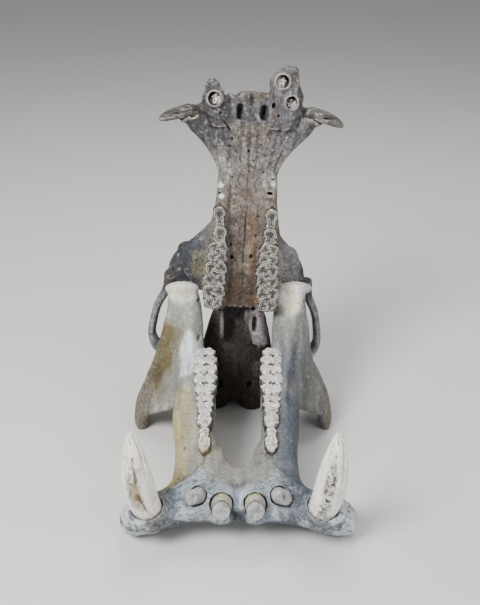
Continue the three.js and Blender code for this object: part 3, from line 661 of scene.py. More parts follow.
def head_details(f):
    """The palate's back edge, and the crest, ridges and openings of the back and top of the head."""
    for x, z, r in PALATE_BAYS:
        f.bite((x, 4, z), (r, 14, r), 2.5)
    f.rod([(0, 172, 40), (0, 163, 120), (0, 160, 200), (0, 160, 240)], [9, 7, 6, 9], blend=8)
    f.rod([(0, 80, 24), (0, 68, 90), (0, 70, 150)], [9, 7, 6], blend=8)
    for sign in (1, -1):
        f.rod([(sign * 4, 161, 205), (sign * 40, 158, 250), (sign * 78, 164, 276)], [4, 5, 7], blend=8)
        f.egg((sign * 52, 118, 150), (26, 40, 62), blend=10)
        for (x, y, z), radii, blend in HEAD_HOLLOWS:
            f.bite((sign * x, y, z), radii, blend)
        seam = [(sign * 18, 150, 372), (sign * 24, 128, 450), (sign * 26, 118, 560)]
        f.groove(seam, [1.6, 1.5, 1.8], 2)
    f.groove([(0, 153, 300), (0, 144, 360), (0, 122, 450), (0, 112, 580)], [1.8, 1.6, 1.6, 1.8], 2)


# The open sockets of the lost upper incisors.
SOCKETS = (
    # x, z, wall's outer radius, hole's radius, where the filling's face lies, and its shift
    (53.4, 685, 15.0, 12.4, -4, (-1.8, -1.6)),
    (72.2, 648, 14.6, 11.4, -4, (-0.8, -2.2)),
    (-70.2, 647.6, 15.8, 12.6, -4, (2.6, -1.6)),
)
# The hollow root of the right upper canine.
CANINE_HOLLOW = (-110, 8, 622)
# The paired openings behind the front edge, and the dents round them: centre, radii and blend.
SNOUT_HOLLOWS = (
    ((-22, 2, 625), (4.6, 30, 13), 2),
    ((24.4, 2, 625.5), (7.0, 30, 12.6), 2),
    ((40.2, 0, 640), (3.2, 16, 6.0), 1.5),
    ((-40, -2, 643), (9, 12, 9), 4),
    ((-0.5, 3, 648), (3.2, 9, 16), 3),
    ((36, -2, 618), (6, 8, 14), 5),
    ((-38, -2, 620), (6, 8, 14), 5),
)
# The knobs of the right tip and the bays of the front edge: across, along and radius.
TIP_LUMPS = ((-86, 672, 4), (-77, 678, 4.5), (-67, 675, 4.5), (-59, 663, 4))
FRONT_BAYS = ((-52, 668, 5), (-33, 661, 8), (-24, 667, 4), (1.6, 668, 3), (12, 671, 4), (26, 674, 5))


def snout_details(f):
    """The upper incisors' sockets, the openings between them and the ragged front edge."""
    for x, z, wall, hole, face, (dx, dz) in SOCKETS:
        f.rod([(x, 14, z), (x, -8, z)], [wall, wall - 0.5], blend=5)
        f.groove([(x, 16, z), (x, -20, z)], [hole - 1.5, hole], 1.5)
        f.rod([(x + dx, 22, z + dz), (x + dx, face + 14, z + dz)], [hole - 1.0, hole - 1.6], blend=1.5)
    for centre, radii, blend in SNOUT_HOLLOWS:
        f.bite(centre, radii, blend)
    for x, z, r in TIP_LUMPS:
        f.egg((x, 10, z), (r, 9, r), blend=5)
    x, y, z = CANINE_HOLLOW
    f.bite((x, y - 6, z), (8.5, 17, 10.5), 2)
    f.bite((-103, -2, 600), (10, 9, 20), 6)
    for x, z, r in FRONT_BAYS:
        f.bite((x, 10, z), (r, 34, r), 2.5)
    for sign in (1, -1):
        f.bite((sign * 97, 0, 645), (11, 24, 15), 6)


# Seams and furrows of the palate and the snout's underside.
SNOUT_SEAMS = (
    # the line's points, depth and half width
    (((-50, 606), (-45, 600), (-41, 594), (-36, 586)), 3.0, 3.0),
    (((39, 600), (37, 594), (34, 585)), 2.6, 3.0),
    (((0, 596), (-2, 560), (1, 520), (-1, 486), (1.5, 449)), 0.8, 2.4),
    (((63, 558), (57, 543), (53, 530), (50, 517)), 2.6, 2.6),
    (((-64, 548), (-58, 535), (-54, 517)), 1.8, 2.6),
    (((2.9, 450), (1, 432), (-0.5, 414), (1.5, 396), (-0.7, 362), (0, 340)), 2.4, 2.4),
    (((0, 340), (1, 310), (-1, 262)), 0.8, 2.2),
    (((5, 480), (6.5, 470), (7, 461)), 1.2, 2.0),
    (((-23, 350), (-12, 341), (0, 338), (9, 343), (15, 353)), 1.2, 2.4),
    (((-92, 621), (-70, 611), (-50, 606)), 1.2, 2.6),
    (((92, 621), (70, 611), (39, 600)), 1.2, 2.6),
    (((-36, 586), (-20, 584), (0, 578), (20, 583), (34, 585)), 0.7, 2.4),
)
# Small openings for vessels.
PALATE_PITS = (
    # x, z, radius
    (-34, 575, 2.6), (-36.5, 561, 2.2), (-1.5, 554, 2.2), (-12, 590, 1.8), (14, 583, 1.8), (22, 566, 1.7),
    (-22.6, 348, 3.6), (15.5, 351, 3.2), (-26, 372, 2.0), (22, 392, 2.0), (-20, 410, 1.8), (24, 430, 1.9),
    (-24, 452, 2.0), (-29, 503, 2.0), (29, 515, 2.0), (-40, 536, 2.2), (31, 546, 1.9), (62, 575, 2.2),
    (-66, 581, 2.4), (78, 597, 2.2), (-84, 604, 2.2), (9, 536, 1.9), (48, 566, 1.9), (-52, 560, 2.0),
    (-13, 621, 1.6), (8, 612, 1.7), (50, 622, 2.2), (-58, 622, 2.4), (-20, 470, 1.7), (14, 455, 1.7),
)


def palate_details(f):
    """Everything drawn on the palate, as seen from below."""

    def relief(x, z):
        side = np.abs(x)
        rows = ramp(z, 250, 290) * fade(z, 480, 530)
        h = -3.4 * bump(side, 31) * rows + 1.3 * bump(np.abs(side - 17), 12) * rows
        fan = ramp(z, 510, 590)
        h = h + 2.4 * bump(np.abs(side - 0.46 * (z - 450)), 17) * fan
        h = h - 3.2 * bump(np.abs(side - 0.80 * (z - 500)), 19) * fan
        h = h - 2.8 * ramp(z, 609, 613) * fade(side, 26, 38) * (1 - 0.6 * bump(side - 9, 8))
        for points, depth, width in SNOUT_SEAMS:
            h = h - depth * bump(line_gap(points, x, z), width)
        h = h + 3.0 * bump(np.hypot(x - 48, (z - 500) / 1.3), 12) + 2.6 * bump(np.hypot(x + 50, z - 489), 12)
        h = h + 2.6 * bump(np.hypot(x - 46, z - 474), 12) + 2.2 * bump(np.hypot(x + 48, z - 467), 12)
        angle = np.arctan2(x, np.maximum(z - 380, 20))
        ribs = np.sin(angle * 74 + 2.0 * np.sin(angle * 17 + 1)) + 0.7 * np.sin(angle * 131 + 0.05 * z)
        return h + 0.42 * ribs * ramp(z, 470, 560) * ramp(side, 14, 40)

    f.relief(relief, (-130, -16, 246), (130, 34, 668), 28)
    for x, z, r in PALATE_PITS:
        f.bite((x, 2, z), (r, 9, r * 1.2), 1.4)
    f.bite((-54, 0, 472), (5.5, 9, 2.6), 1.2)
    f.bite((43.5, 0, 477), (6.0, 9, 3.0), 1.2)
    f.ring((48.4, 1, 496), (0, 1, 0), 6.5, 2.0, blend=1.5)
    f.bite((48.4, -2, 503), (6.5, 7, 1.6), 1.0)


# ---- the jaw's shape

# The thin plates of the jaw's angles, from top to bottom.
FLANGE = {
    # height, the plate's outer edge, how far forward that edge lies, half thickness
    "left": ((40, 128, 44, 9), (12, 133, 60, 9), (-16, 142, 84, 9), (-44, 151, 104, 9), (-74, 160, 118, 9),
             (-104, 173, 134, 9), (-132, 184, 142, 8)),
    "right": ((40, 145, 52, 9), (14, 152, 68, 9), (-14, 163, 88, 9), (-44, 175, 104, 9), (-76, 188, 112, 9),
              (-108, 200, 124, 9), (-134, 208, 138, 8)),
}


def jaw_field(side, step):
    """One side of the lower jaw, as far as the middle plane and a little over it."""
    sign = SIDES[side]
    f = Field(*box_on(side, (-14, -22, -186), (214, 516, 86)), step)
    breadth, flare, deep = JAW_BREADTH[side], JAW_FLARE[side], RAMUS_BREADTH[side]
    ramus = [
        (h, sign * (NECK + (c - NECK) * flare), half, low_, mid, top, sign * lean, sq)
        for h, c, half, low_, mid, top, lean, sq in RAMUS
    ]
    f.add(loft(ramus, lambda h, x, g: (x * deep, g, h)), 1)
    plate = [
        (h, sign * (edge + 96) / 2, (edge - 96) / 2, fore - thick, fore, fore + thick, 0, 2.2)
        for h, edge, fore, thick in FLANGE[side]
    ]
    f.add(loft(plate, lambda h, x, g: (x, g, h)), 12)
    f.add(loft(sided(JAW_BODY, sign), lambda g, x, h: (x * breadth, g, h)), 12)
    f.add(loft(JAW_FRONT, lambda x, g, h: (sign * x, g, h)), 10)
    f.egg((sign * 113, 5, 67), (34.5, 15, 13), blend=3)
    f.groove([(sign * 82, 21, 48), (sign * 113, 23.5, 47), (sign * 144, 21, 48)], [4, 5, 4], 3)
    f.egg((sign * 96, 72, 6), (20, 46, 34), turn=-0.6, blend=10)
    for name, (*_, wall) in LOWER_INCISORS.items():
        root, mouth, _ = incisor_points(name, side)
        f.rod([root - 0.3 * (mouth - root), mouth], [wall, wall], blend=7)
    jaw_details(f, side)
    gap = sizes().socket_gap / MM
    for name, (*_, size, _, _) in LOWER_INCISORS.items():
        root, mouth, end = incisor_points(name, side)
        hole = [root + 0.25 * (mouth - root), mouth, mouth + 1.6 * (end - mouth)]
        f.groove(hole, [size, size + gap, size + gap * 1.6], 1.5)
    f.cut_out(bar(lower_canine_stops(side)[1:], grow=1.5), 1.5)
    f.soften(1)
    return f


def incisor_points(name, side):
    """Root, socket's mouth and worn end of a lower incisor."""
    return [np.array(point, float) * (SIDES[side], 1, 1) for point in LOWER_INCISORS[name][:3]]


def lower_canine_stops(side):
    """The stops of a lower tusk, its root first."""
    sign, shift = SIDES[side], TUSK_SHIFT[side]
    return [(sign * (x + shift), y, z, wide, deep) for x, y, z, wide, deep in LOWER_CANINE]


# How many small pits each side of the chin has.
CHIN_PITS = 90


def jaw_details(f, side):
    """Ridges, hollows and openings of one side of the lower jaw."""
    sign = SIDES[side]
    f.rod([(sign * 112, 14, 56), (sign * 112, 40, 20), (sign * 106, 66, -10)], [9, 8, 6], blend=10)
    f.bite((0, 343, -42), (19, 20, 34), 12)
    f.groove([(sign * 116, 498, -66), (sign * 88, 493, -56), (sign * 62, 491, -50)], [10, 9, 6], 9)
    f.groove([(sign * 3, 486, -40), (sign * 4, 470, -26)], [5, 4], 7)
    f.egg((sign * 28, 470, -42), (21, 13, 15), blend=10)
    shift = TUSK_SHIFT[side]
    front = ((128, 482, -36), (150, 487, -35), (174, 482, -38))
    f.rod([(sign * (x + shift), g, h) for x, g, h in front], [12, 15, 14], blend=9)
    f.ring((sign * (159 + shift), 469, -20), (sign * 0.1, -0.1, 1), 29, 6, blend=9)
    if side == "right":
        f.rod([(-113, 80, 12), (-111, 112, -4), (-101, 158, -12)], [5, 6, 4], blend=8)
        f.rod([(-96, 78, 16), (-94, 112, 2), (-88, 152, -6)], [4, 5, 3], blend=9)
        f.bite((-79, 92, 14), (3.5, 8, 5), 2)
        f.bite((-96, 344, -12), (1.8, 5, 10), 1.5)
        f.groove([(-61, 358, -9), (-64, 380, -10), (-67, 402, -11)], [2, 3, 2], 3)
    else:
        f.rod([(114, 44, 42), (101, 94, 14), (91, 158, -2), (84, 232, -6)], [8, 9, 8, 4], blend=12)
        f.groove([(66, 366, -8), (72, 392, -10), (84, 412, -12)], [2.5, 3, 2.5], 3)
    for x, g, h, r in ((118, 360, -44, 4), (121, 318, -50, 3), (104, 408, -20, 2.4), (46, 432, -12, 2.2)):
        f.bite((sign * x, g, h), (r, r * 1.6, r * 1.4), 2)
    pits = np.random.default_rng(41 if side == "left" else 43)
    spans = ((118, 196), (440, 500), (-110, -14), (1.6, 3.4))
    for x, g, h, r in zip(*(pits.uniform(low, high, CHIN_PITS) for low, high in spans)):
        f.bite((sign * x, g, h), (r, r, r), 1.5)


# ---- teeth

# Cheek teeth, one to a line: start and end along the row, pairs of lobes, height of the points, and how
# far the tooth's middle lies from the middle plane on the right and on the left side.
UPPER_ROW = (
    (412, 451, 1, 3.0, 50.5, 48.5),
    (383, 412, 1, 1.0, 46.5, 48.5),
    (343, 383, 2, 0.0, 49.5, 48.0),
    (297, 343, 2, 0.0, 52.5, 47.5),
    (248, 297, 2, 0.0, 53.5, 51.0),
)
LOWER_ROW = (
    (106, 176, 3, 3.6, 64.0, 64.3),
    (176, 228, 2, 3.6, 63.5, 63.0),
    (228, 262, 2, 2.4, 62.5, 61.0),
    (262, 307, 1, 6.0, 62.0, 59.8),
    (308, 363, 1, 5.0, 61.5, 58.5),
)
# How deep each lower tooth is worn under the row's plane, in millimetres, and the premolar that is left
# as a point on the left side.
LOWER_WEAR = (0.0, 0.5, 3.0, 1.0, 1.5)
POINTED_TOOTH = 3
POINT_HEIGHT = 12.0
# Levels of the worn planes in the bones' own frames.
UPPER_PLANE = -22
LOWER_PLANE = 2
# How wide each row is along its length: the place along the row and the full width there.
ROW_WIDTHS = {
    "upper": ((246, 10), (251, 26), (260, 35), (276, 42), (291, 43), (298, 40), (315, 43), (334, 42),
              (344, 36), (360, 37), (374, 35), (383, 26), (396, 28), (408, 24), (413, 19), (424, 22),
              (437, 25), (446, 20), (452, 6)),
    "lower": ((105, 12), (110, 29), (118, 38), (134, 43), (165, 46), (200, 42), (222, 35), (232, 32),
              (262, 31), (282, 30), (298, 26), (308, 17), (314, 20), (330, 25), (348, 23), (359, 15),
              (364, 5)),
}


def crown(u, v, full, start, end, lobes, point):
    """Height over the worn plane, and distances outside the enamel's line and outside the crown."""
    length, middle = end - start, (start + end) / 2
    if lobes > 1:
        cusps = [
            (start + length * (i + 0.5) / lobes, side * 0.235, length / lobes * 0.47, 0.25, side)
            for i in range(lobes)
            for side in (-1, 1)
        ]
    else:
        cusps = [
            (start + length * 0.62, 0, length * 0.38, 0.42, 1),
            (start + length * 0.22, 0, length * 0.25, 0.36, -1),
        ]
    across = v / full
    line = np.full(across.shape, 99.0, np.float32)
    dome = np.zeros_like(line)
    for i, (cu, cv, ru, rv, side) in enumerate(cusps):
        a, b = (u - cu) / ru, (across - cv) / rv
        turn = np.arctan2(b, a)
        folds = 0.21 * np.cos(3 * turn + (math.pi if side > 0 else 0) + 0.5 * math.sin(2.1 * i + start))
        folds = folds + 0.08 * np.cos(7 * turn + i + start) + 0.05 * np.cos(11 * turn + 2 * i)
        folds = folds if lobes > 1 else 0.5 * folds
        reach = np.hypot(a, b) - 1 - folds
        line = smooth_min(line, reach * np.minimum(ru, rv * full), 1.0)
        dome = np.maximum(dome, np.clip(1 - np.hypot(a, b), 0, 1) ** 0.8)
    corner = 7.0 if lobes > 1 else 5.0
    pinch = 1 - 0.05 * (lobes > 1) * (1 + np.cos((u - start) / length * lobes * 2 * math.pi))
    far, wide = np.abs(u - middle) - length / 2 + corner, np.abs(v) - full / 2 * pinch + corner
    block = np.hypot(np.maximum(far, 0), np.maximum(wide, 0)) + np.minimum(np.maximum(far, wide), 0) - corner
    edge = smooth_min(line - 0.6, block + 0.5, 2.0)
    enamel = sizes().enamel / MM
    inner = np.clip(-line, 0, 20)
    nested = bump(np.abs(inner - enamel * 2.9), enamel * 0.8)
    height = -sizes().enamel_relief / MM * ramp(inner, enamel * 0.7, enamel * 1.4) * (1 - 0.6 * nested)
    height = height - 1.15 * np.clip(line - 0.3, 0, 4.0) + point * dome
    return height, line, edge


def row_place(upper, p):
    """Along the row, away from the middle plane and up out of the bone, in a bone's own coordinates."""
    x, y, z = p
    if upper:
        return z, np.abs(x), UPPER_PLANE - y
    return y, np.abs(x), z - LOWER_PLANE


def row_shape(upper, side, u, v):
    """Place along the row, distance from its middle line, and its full width there."""
    wander = 1.3 * np.sin(0.55 * u + 0.9 * np.sin(0.31 * v)) + 0.6 * np.sin(1.3 * u - 0.8 * v)
    rows = sorted(UPPER_ROW if upper else LOWER_ROW)
    centres = [(row[0] + row[1]) / 2 for row in rows]
    middle = np.interp(u, centres, [row[5 if side == "left" else 4] for row in rows])
    along = u + 0.4 * wander
    full = np.interp(along, *zip(*ROW_WIDTHS["upper" if upper else "lower"]))
    across = v - middle + 0.55 * wander
    bow = 2.4 * np.clip(across / full * 2, -1, 1) ** 2
    return along + bow, across, full.astype(np.float32)


def row_heights(upper, side, u, v):
    """Height over the worn plane and the distances of a whole row."""
    along, across, full = row_shape(upper, side, u, v)
    height = np.full(along.shape, -40.0, np.float32)
    line, edge = np.full_like(height, 99.0), np.full_like(height, 99.0)
    for i, (start, end, lobes, point, *_) in enumerate(UPPER_ROW if upper else LOWER_ROW):
        sink = 0.0 if upper else LOWER_WEAR[i]
        if not upper and side == "left" and i == POINTED_TOOTH:
            point, sink = POINT_HEIGHT, 0.0
        h, g, e = crown(along, across, full, start, end, lobes, point)
        near = e < edge
        height = np.where(near, h - sink, height)
        line = np.where(near, g, line)
        edge = np.minimum(edge, e)
    return height, line, edge


def tooth_row_field(upper, side, step):
    """A row of cheek teeth, their worn crowns standing out of a web of cement."""
    reach = 3.0
    box = ((18, -27, 242), (84, 12, 458)) if upper else ((36, 100, -26), (92, 369, 16))
    f = Field(*box_on(side, *box), step, reach)
    u, v, up = row_place(upper, f.whole())
    height, line, edge = row_heights(upper, side, u, v)
    tall = up - height
    slope = np.clip(0.55 + 0.25 * (np.abs(line) > 3), 0, 1)
    taper = edge + 0.10 * np.clip(up + 16, -10, 16)
    f.d = -smooth_min(-tall * slope, -taper, 1.5)
    along, across, full = row_shape(upper, side, u, v)
    first, last = (252, 447) if upper else (112, 356)
    cement = np.maximum(np.abs(across) - full / 2 + 2.5, np.maximum(first - along, along - last))
    f.d = np.minimum(f.d, np.maximum(cement, up + (4.5 if upper else 6.5)))
    floor = -(28 if upper else 24) - up
    f.d = np.clip(np.maximum(f.d, floor), -reach, reach).astype(np.float32)
    return f


def upper_canine_field(side, step):
    """The broken canine: grey, half hollowed along its worn face, with a ragged lower edge."""
    stops = canine_stops(UPPER_CANINE, side)
    low = np.min([s[:3] for s in stops], 0) - 18
    high = np.max([s[:3] for s in stops], 0) + 18
    f = Field(low, high, step, 5.0)
    f.add(bar(stops, (0, 1, 0), grow=-0.4), 0.5)
    sign, lift = SIDES[side], CANINE_LIFT[side]
    f.slice((sign * 150, -12, 618 + lift), (sign * 0.25, -0.75, 0.55), 3)
    for (y0, z0), (y1, z1), (y2, z2), wide in (
        ((13, 622), (-11, 616), (-30, 603), 2.6),
        ((30, 604), (6, 603), (-16, 597), 2.4),
        ((20, 634), (0, 630), (-20, 616), 1.6),
    ):
        line = [(sign * 108, y0, z0 + lift), (sign * 141, y1, z1 + lift), (sign * 173, y2, z2 + lift)]
        f.groove(line, [wide, wide * 0.85, wide * 0.6], 2)
    for x, y, z, r in ((126, 0, 600, 4), (140, -10, 598, 3.5), (151, -14, 596, 4), (163, -22, 594, 3)):
        f.bite((sign * x, y, z + lift), (r, 7, r), 1.5)
    return f


def lower_canine_field(side, step):
    """The tusk, with a flat worn facet on its inner side and faint ribs along it."""
    stops = lower_canine_stops(side)
    low = np.min([s[:3] for s in stops], 0) - 34
    high = np.max([s[:3] for s in stops], 0) + 34
    f = Field(low, high, step, 6.0)
    f.add(bar(stops[1:], grow=-0.3), 0.5)
    sign = SIDES[side]
    inner = sign * (161.5 + TUSK_SHIFT[side])
    if side == "right":
        f.slice((inner - sign * 14, 484, 44), (-sign * 0.72, 0.58, 0.38), 1.2)
        worn = [(sign * 129, 486, 14), (sign * 132, 478, 56), (sign * 139, 458, 94)]
        f.groove(worn, [8, 12, 8], 5)
        f.bite((inner - sign * 2, 499, 40), (6, 6, 10), 3, turn=0.2)
    else:
        f.slice((inner - sign * 15, 484, 34), (-sign * 0.62, 0.66, 0.42), 1.2)
        f.bite((inner - sign * 12, 501, -2), (12, 8, 12), 2.5, turn=0.3)
        f.bite((inner + sign * 4, 503, -8), (8, 8, 8), 2.0, turn=0.3)
    for turn in (0.3, 1.0, 1.7, 2.5, -0.5):
        c, n = math.cos(turn) * sign, math.sin(turn)
        groove = [(x + c * (w + 2.0), y + n * (d + 2.0), z) for x, y, z, w, d in stops]
        f.groove(groove, [2.4] * len(groove), 2.5)
    return f


def stump_field(name, side, step):
    """A broken lower incisor, narrower towards its worn end."""
    *_, size, tip, _ = LOWER_INCISORS[name]
    root, mouth, end = incisor_points(name, side)
    f = Field(np.minimum(root, end) - 24, np.maximum(root, end) + 24, step, 5.0)
    f.rod([root, mouth, end], [size * 0.9, size, tip], blend=0.5)
    way = (end - mouth) / np.linalg.norm(end - mouth)
    f.slice(end, way + np.array((0.0, -0.05, 0.30)), 2.5)
    f.bite(end + (0, 0.5, 2), (tip * 0.45, 3.0, tip * 0.4), 2.5)
    f.slice(root, -way, 1.0)
    return f


# ---- colours


class Paint:
    """Colours laid over one another on points, each through a soft region."""

    def __init__(self, count, base):
        self.rgb = np.tile(self.values(base), (count, 1))

    @staticmethod
    def values(colour):
        return np.array(linear(colour) if isinstance(colour, str) else colour[:3], float)

    def over(self, colour, amount):
        amount = np.clip(amount, 0, 1)[:, None]
        self.rgb = self.rgb + (self.values(colour) - self.rgb) * amount

    def shade(self, factor):
        self.rgb = self.rgb * np.clip(factor, 0.25, 1.9)[:, None]


def around(value, centre, half, soft):
    """One within half of a centre, falling to 0 over a soft border."""
    return fade(np.abs(value - centre), half, half + soft)


def paint_cranium(p, normal, hollow):
    """Mauve-grey snout, browner palate, blue-grey cheeks and a base darkened with painted shade."""
    k = colours()
    x, y, z = p.T
    side = np.abs(x)
    patch, fine = layered(p, 60, 3), layered(p, 14, 9)
    angle = np.arctan2(x, np.maximum(z - 380, 20))
    fan = layered(np.column_stack([angle * 330, y * 0.6, z * 0.16]), 7, 5)
    along = layered(stretched(p, 1.0, 0.5, 0.14), 6, 7)
    c = Paint(len(p), k.cranium)
    # Snout, and the palate with the ridges beside it.
    c.over(k.snout, ramp(z, 520, 600) * (0.75 + 0.3 * patch))
    c.over("#5c5859", ramp(side, 84, 120) * ramp(z, 560, 600) * 0.6)
    c.over("#83807b", ramp(z, 400, 450) * fade(z, 520, 575) * 0.85)
    palate = fade(y, 20, 60) * fade(side, 17, 36)
    c.over(k.palate, palate * fade(z, 470, 560) * (0.65 + 0.5 * fine))
    c.over("#735842", around(x, 17, 3, 11) * around(z, 372, 35, 50) * fade(y, 8, 20) * 0.7)
    c.over("#8d8f78", around(x, 0, 7, 10) * around(z, 345, 14, 22) * fade(y, 8, 20) * 0.35)
    c.over("#4d4136", palate * fade(z, 270, 390) * (0.8 + 0.5 * patch))
    ridge = fade(y, 10, 30) * ramp(side, 24, 36) * fade(side, 78, 92) * fade(z, 470, 520)
    c.over("#6e6559", ridge * 0.7)
    # Cheekbones, with painted shade along their outer edges that is darker on the right, and their arches.
    c.over(k.cheek, ramp(side, 66, 92) * fade(z, 420, 470) * (0.85 + 0.3 * patch))
    c.over("#8a8b6c", around(side, 86, 8, 14) * around(z, 318, 18, 20) * (x < 0) * 0.5)
    c.over("#8b8a8a", around(x, 92, 18, 14) * around(z, 315, 40, 24) * 0.85)
    # Painted shade along the cheekbones' outer edges, deeper on the right.
    dark = ramp(side + 12 * (x < 0), 108, 130) * (0.55 + 0.6 * ramp(fine, -0.3, 0.3))
    c.over("#2f3136", dark * fade(z, 350, 380) * ramp(z, 236, 262) * (1 - 0.6 * (x > 0)) * 0.85)
    c.over("#83878b", ramp(side, 112, 130) * fade(z, 232, 262) * (0.7 + 0.6 * fine))
    # Stains, then painted shade over the base, and the pterygoid plates before it.
    c.over("#5a4939", spots(p, 34, 21, 0.25, 0.6) * 0.5)
    c.over("#aaa6a0", spots(p, 9, 33, 0.3, 0.6) * 0.55 * (1 - 0.7 * palate))
    base = fade(side, 84, 116) * (1 - 0.8 * ramp(y, 90, 150))
    # Painted shade over the base, fading towards its top.
    c.over("#39312a", fade(z, 150, 262) * base * 0.92)
    c.over("#231e1a", fade(z, 60, 200) * base * 0.75)
    plate = fade(z, 240, 252) * fade(y, 26, 50) * (side < 62) * ramp(z, 148, 152)
    c.over("#7b7377", plate * (x > -8) * 0.85)
    # Painted shade over the plates near the middle plane.
    c.over("#37312e", plate * (x > -8) * fade(x, 16, 30) * 0.75)
    c.shade(1 + 0.14 * ramp(x, 36, 66) * ramp(z, 430, 470) * fade(z, 570, 600))
    c.shade(1 - 0.12 * fade(side, 24, 38) * fade(z, 300, 330))
    # Painted shade over the right plate.
    c.over("#2e2a27", plate * (x < -8) * 0.85)
    c.over("#81766a", fade(side, 30, 48) * around(z, 588, 10, 22) * fade(z, 604, 610) * 0.6)
    # Light and dark sides of the snout, and the grain that fans out over it.
    c.shade(1 + 0.22 * ramp(x, 20, 60) * ramp(z, 540, 600))
    c.shade(1 - 0.40 * ramp(-x, 22, 52) * ramp(z, 535, 575) * fade(z, 640, 660))
    c.shade(1 + 0.70 * fan * ramp(z, 470, 560))
    c.shade(1 + 0.38 * along * fade(z, 470, 560) * fade(side, 60, 80))
    c.shade(1 + 0.48 * layered(p, 8, 41) + 0.30 * noise(p, 3.6, 43))
    c.shade(1 - 0.2 * fade(side, 36, 60) * around(z, 562, 40, 30))
    for points, depth, width in SNOUT_SEAMS:
        seam = bump(line_gap(points, x, z), width * 0.8) * (y < 14)
        c.over("#2b2520", seam * min(1.0, 0.25 + depth * 0.25))
    # Chalky specks, then painted shade in the hollows and painted highlights on the ridges.
    chalk = ramp(z, 380, 480) * fade(y, 14, 40) * (1 - 0.6 * ramp(side, 60, 80))
    c.over("#c2bfba", spots(p, 5.0, 47, 0.36, 0.6) * 0.5 * chalk)
    c.over("#211b17", ramp(hollow, 0.3, 1.9) * 0.9)
    c.over("#b5afa5", ramp(-hollow, 0.35, 2.0) * 0.55)
    paint_sockets(c, p)
    return c.rgb


def paint_sockets(c, p):
    """Holes with brown painted shade round their crystals, painted highlights on their rims, and stains at
    the ends of the upper rows.
    """
    k = colours()
    x, y, z = p.T
    for px, pz, _, hole, _, (dx, dz) in SOCKETS:
        gap = np.hypot(x - px, z - pz)
        within = fade(gap, hole - 3, hole) * (y > -6) * (y < 30)
        # Brown painted shade in the socket's gap round its filling.
        c.over("#57493b", within)
        fill = fade(np.hypot(x - px - dx, z - pz - dz), hole - 2.2, hole - 1.0)
        c.over(k.filling, within * fill)
        c.over("#8f897f", within * fill * spots(p, 7, 45, 0.0, 0.35) * 0.8)
        # Painted highlight on the socket's rim.
        c.over("#aea89f", fade(np.abs(gap - hole - 1.6), 0.8, 2.4) * (y < 1) * 0.6)
    px, _, pz = CANINE_HOLLOW
    gap = np.hypot(x - px, (z - pz) / 1.2)
    # Painted shade inside the hollow root, and a painted highlight on its rim.
    c.over("#4a3c30", fade(gap, 6, 10) * (y < 26))
    c.over("#c6bfae", around(gap, 10.5, 1.0, 2.0) * (y < 16) * 0.75)
    for px, pz, wide, long in ((48.5, 496, 5, 7), (-47.5, 467, 5, 6), (-51, 488, 7, 5)):
        c.over(k.filling, fade(np.hypot((x - px) / wide, (z - pz) / long), 0.6, 1.1) * (y < 2) * 0.85)
    c.over("#7f6233", fade(np.hypot(x - 39.5, z - 444), 3, 7) * (y < 4) * 0.75)
    c.over("#6d5130", fade(np.hypot(x - 29, (z - 266) / 1.8), 4, 9) * (y < 6) * 0.75)


# Where the smooth bone of the jaw's branches meets the grainy bone of its front.
GRAIN_LINE = (
    (-200, 443), (-112, 423), (-82, 402), (-62, 385), (-40, 410), (0, 430), (40, 410), (67, 390),
    (89, 405), (109, 423), (200, 443),
)
# The creases along that border, one on each side, where painted shade is laid.
GRAIN_CREASES = (
    ((-57, 354), (-62, 376), (-82, 402), (-112, 423)),
    ((41, 350), (67, 387), (89, 405), (109, 423)),
)


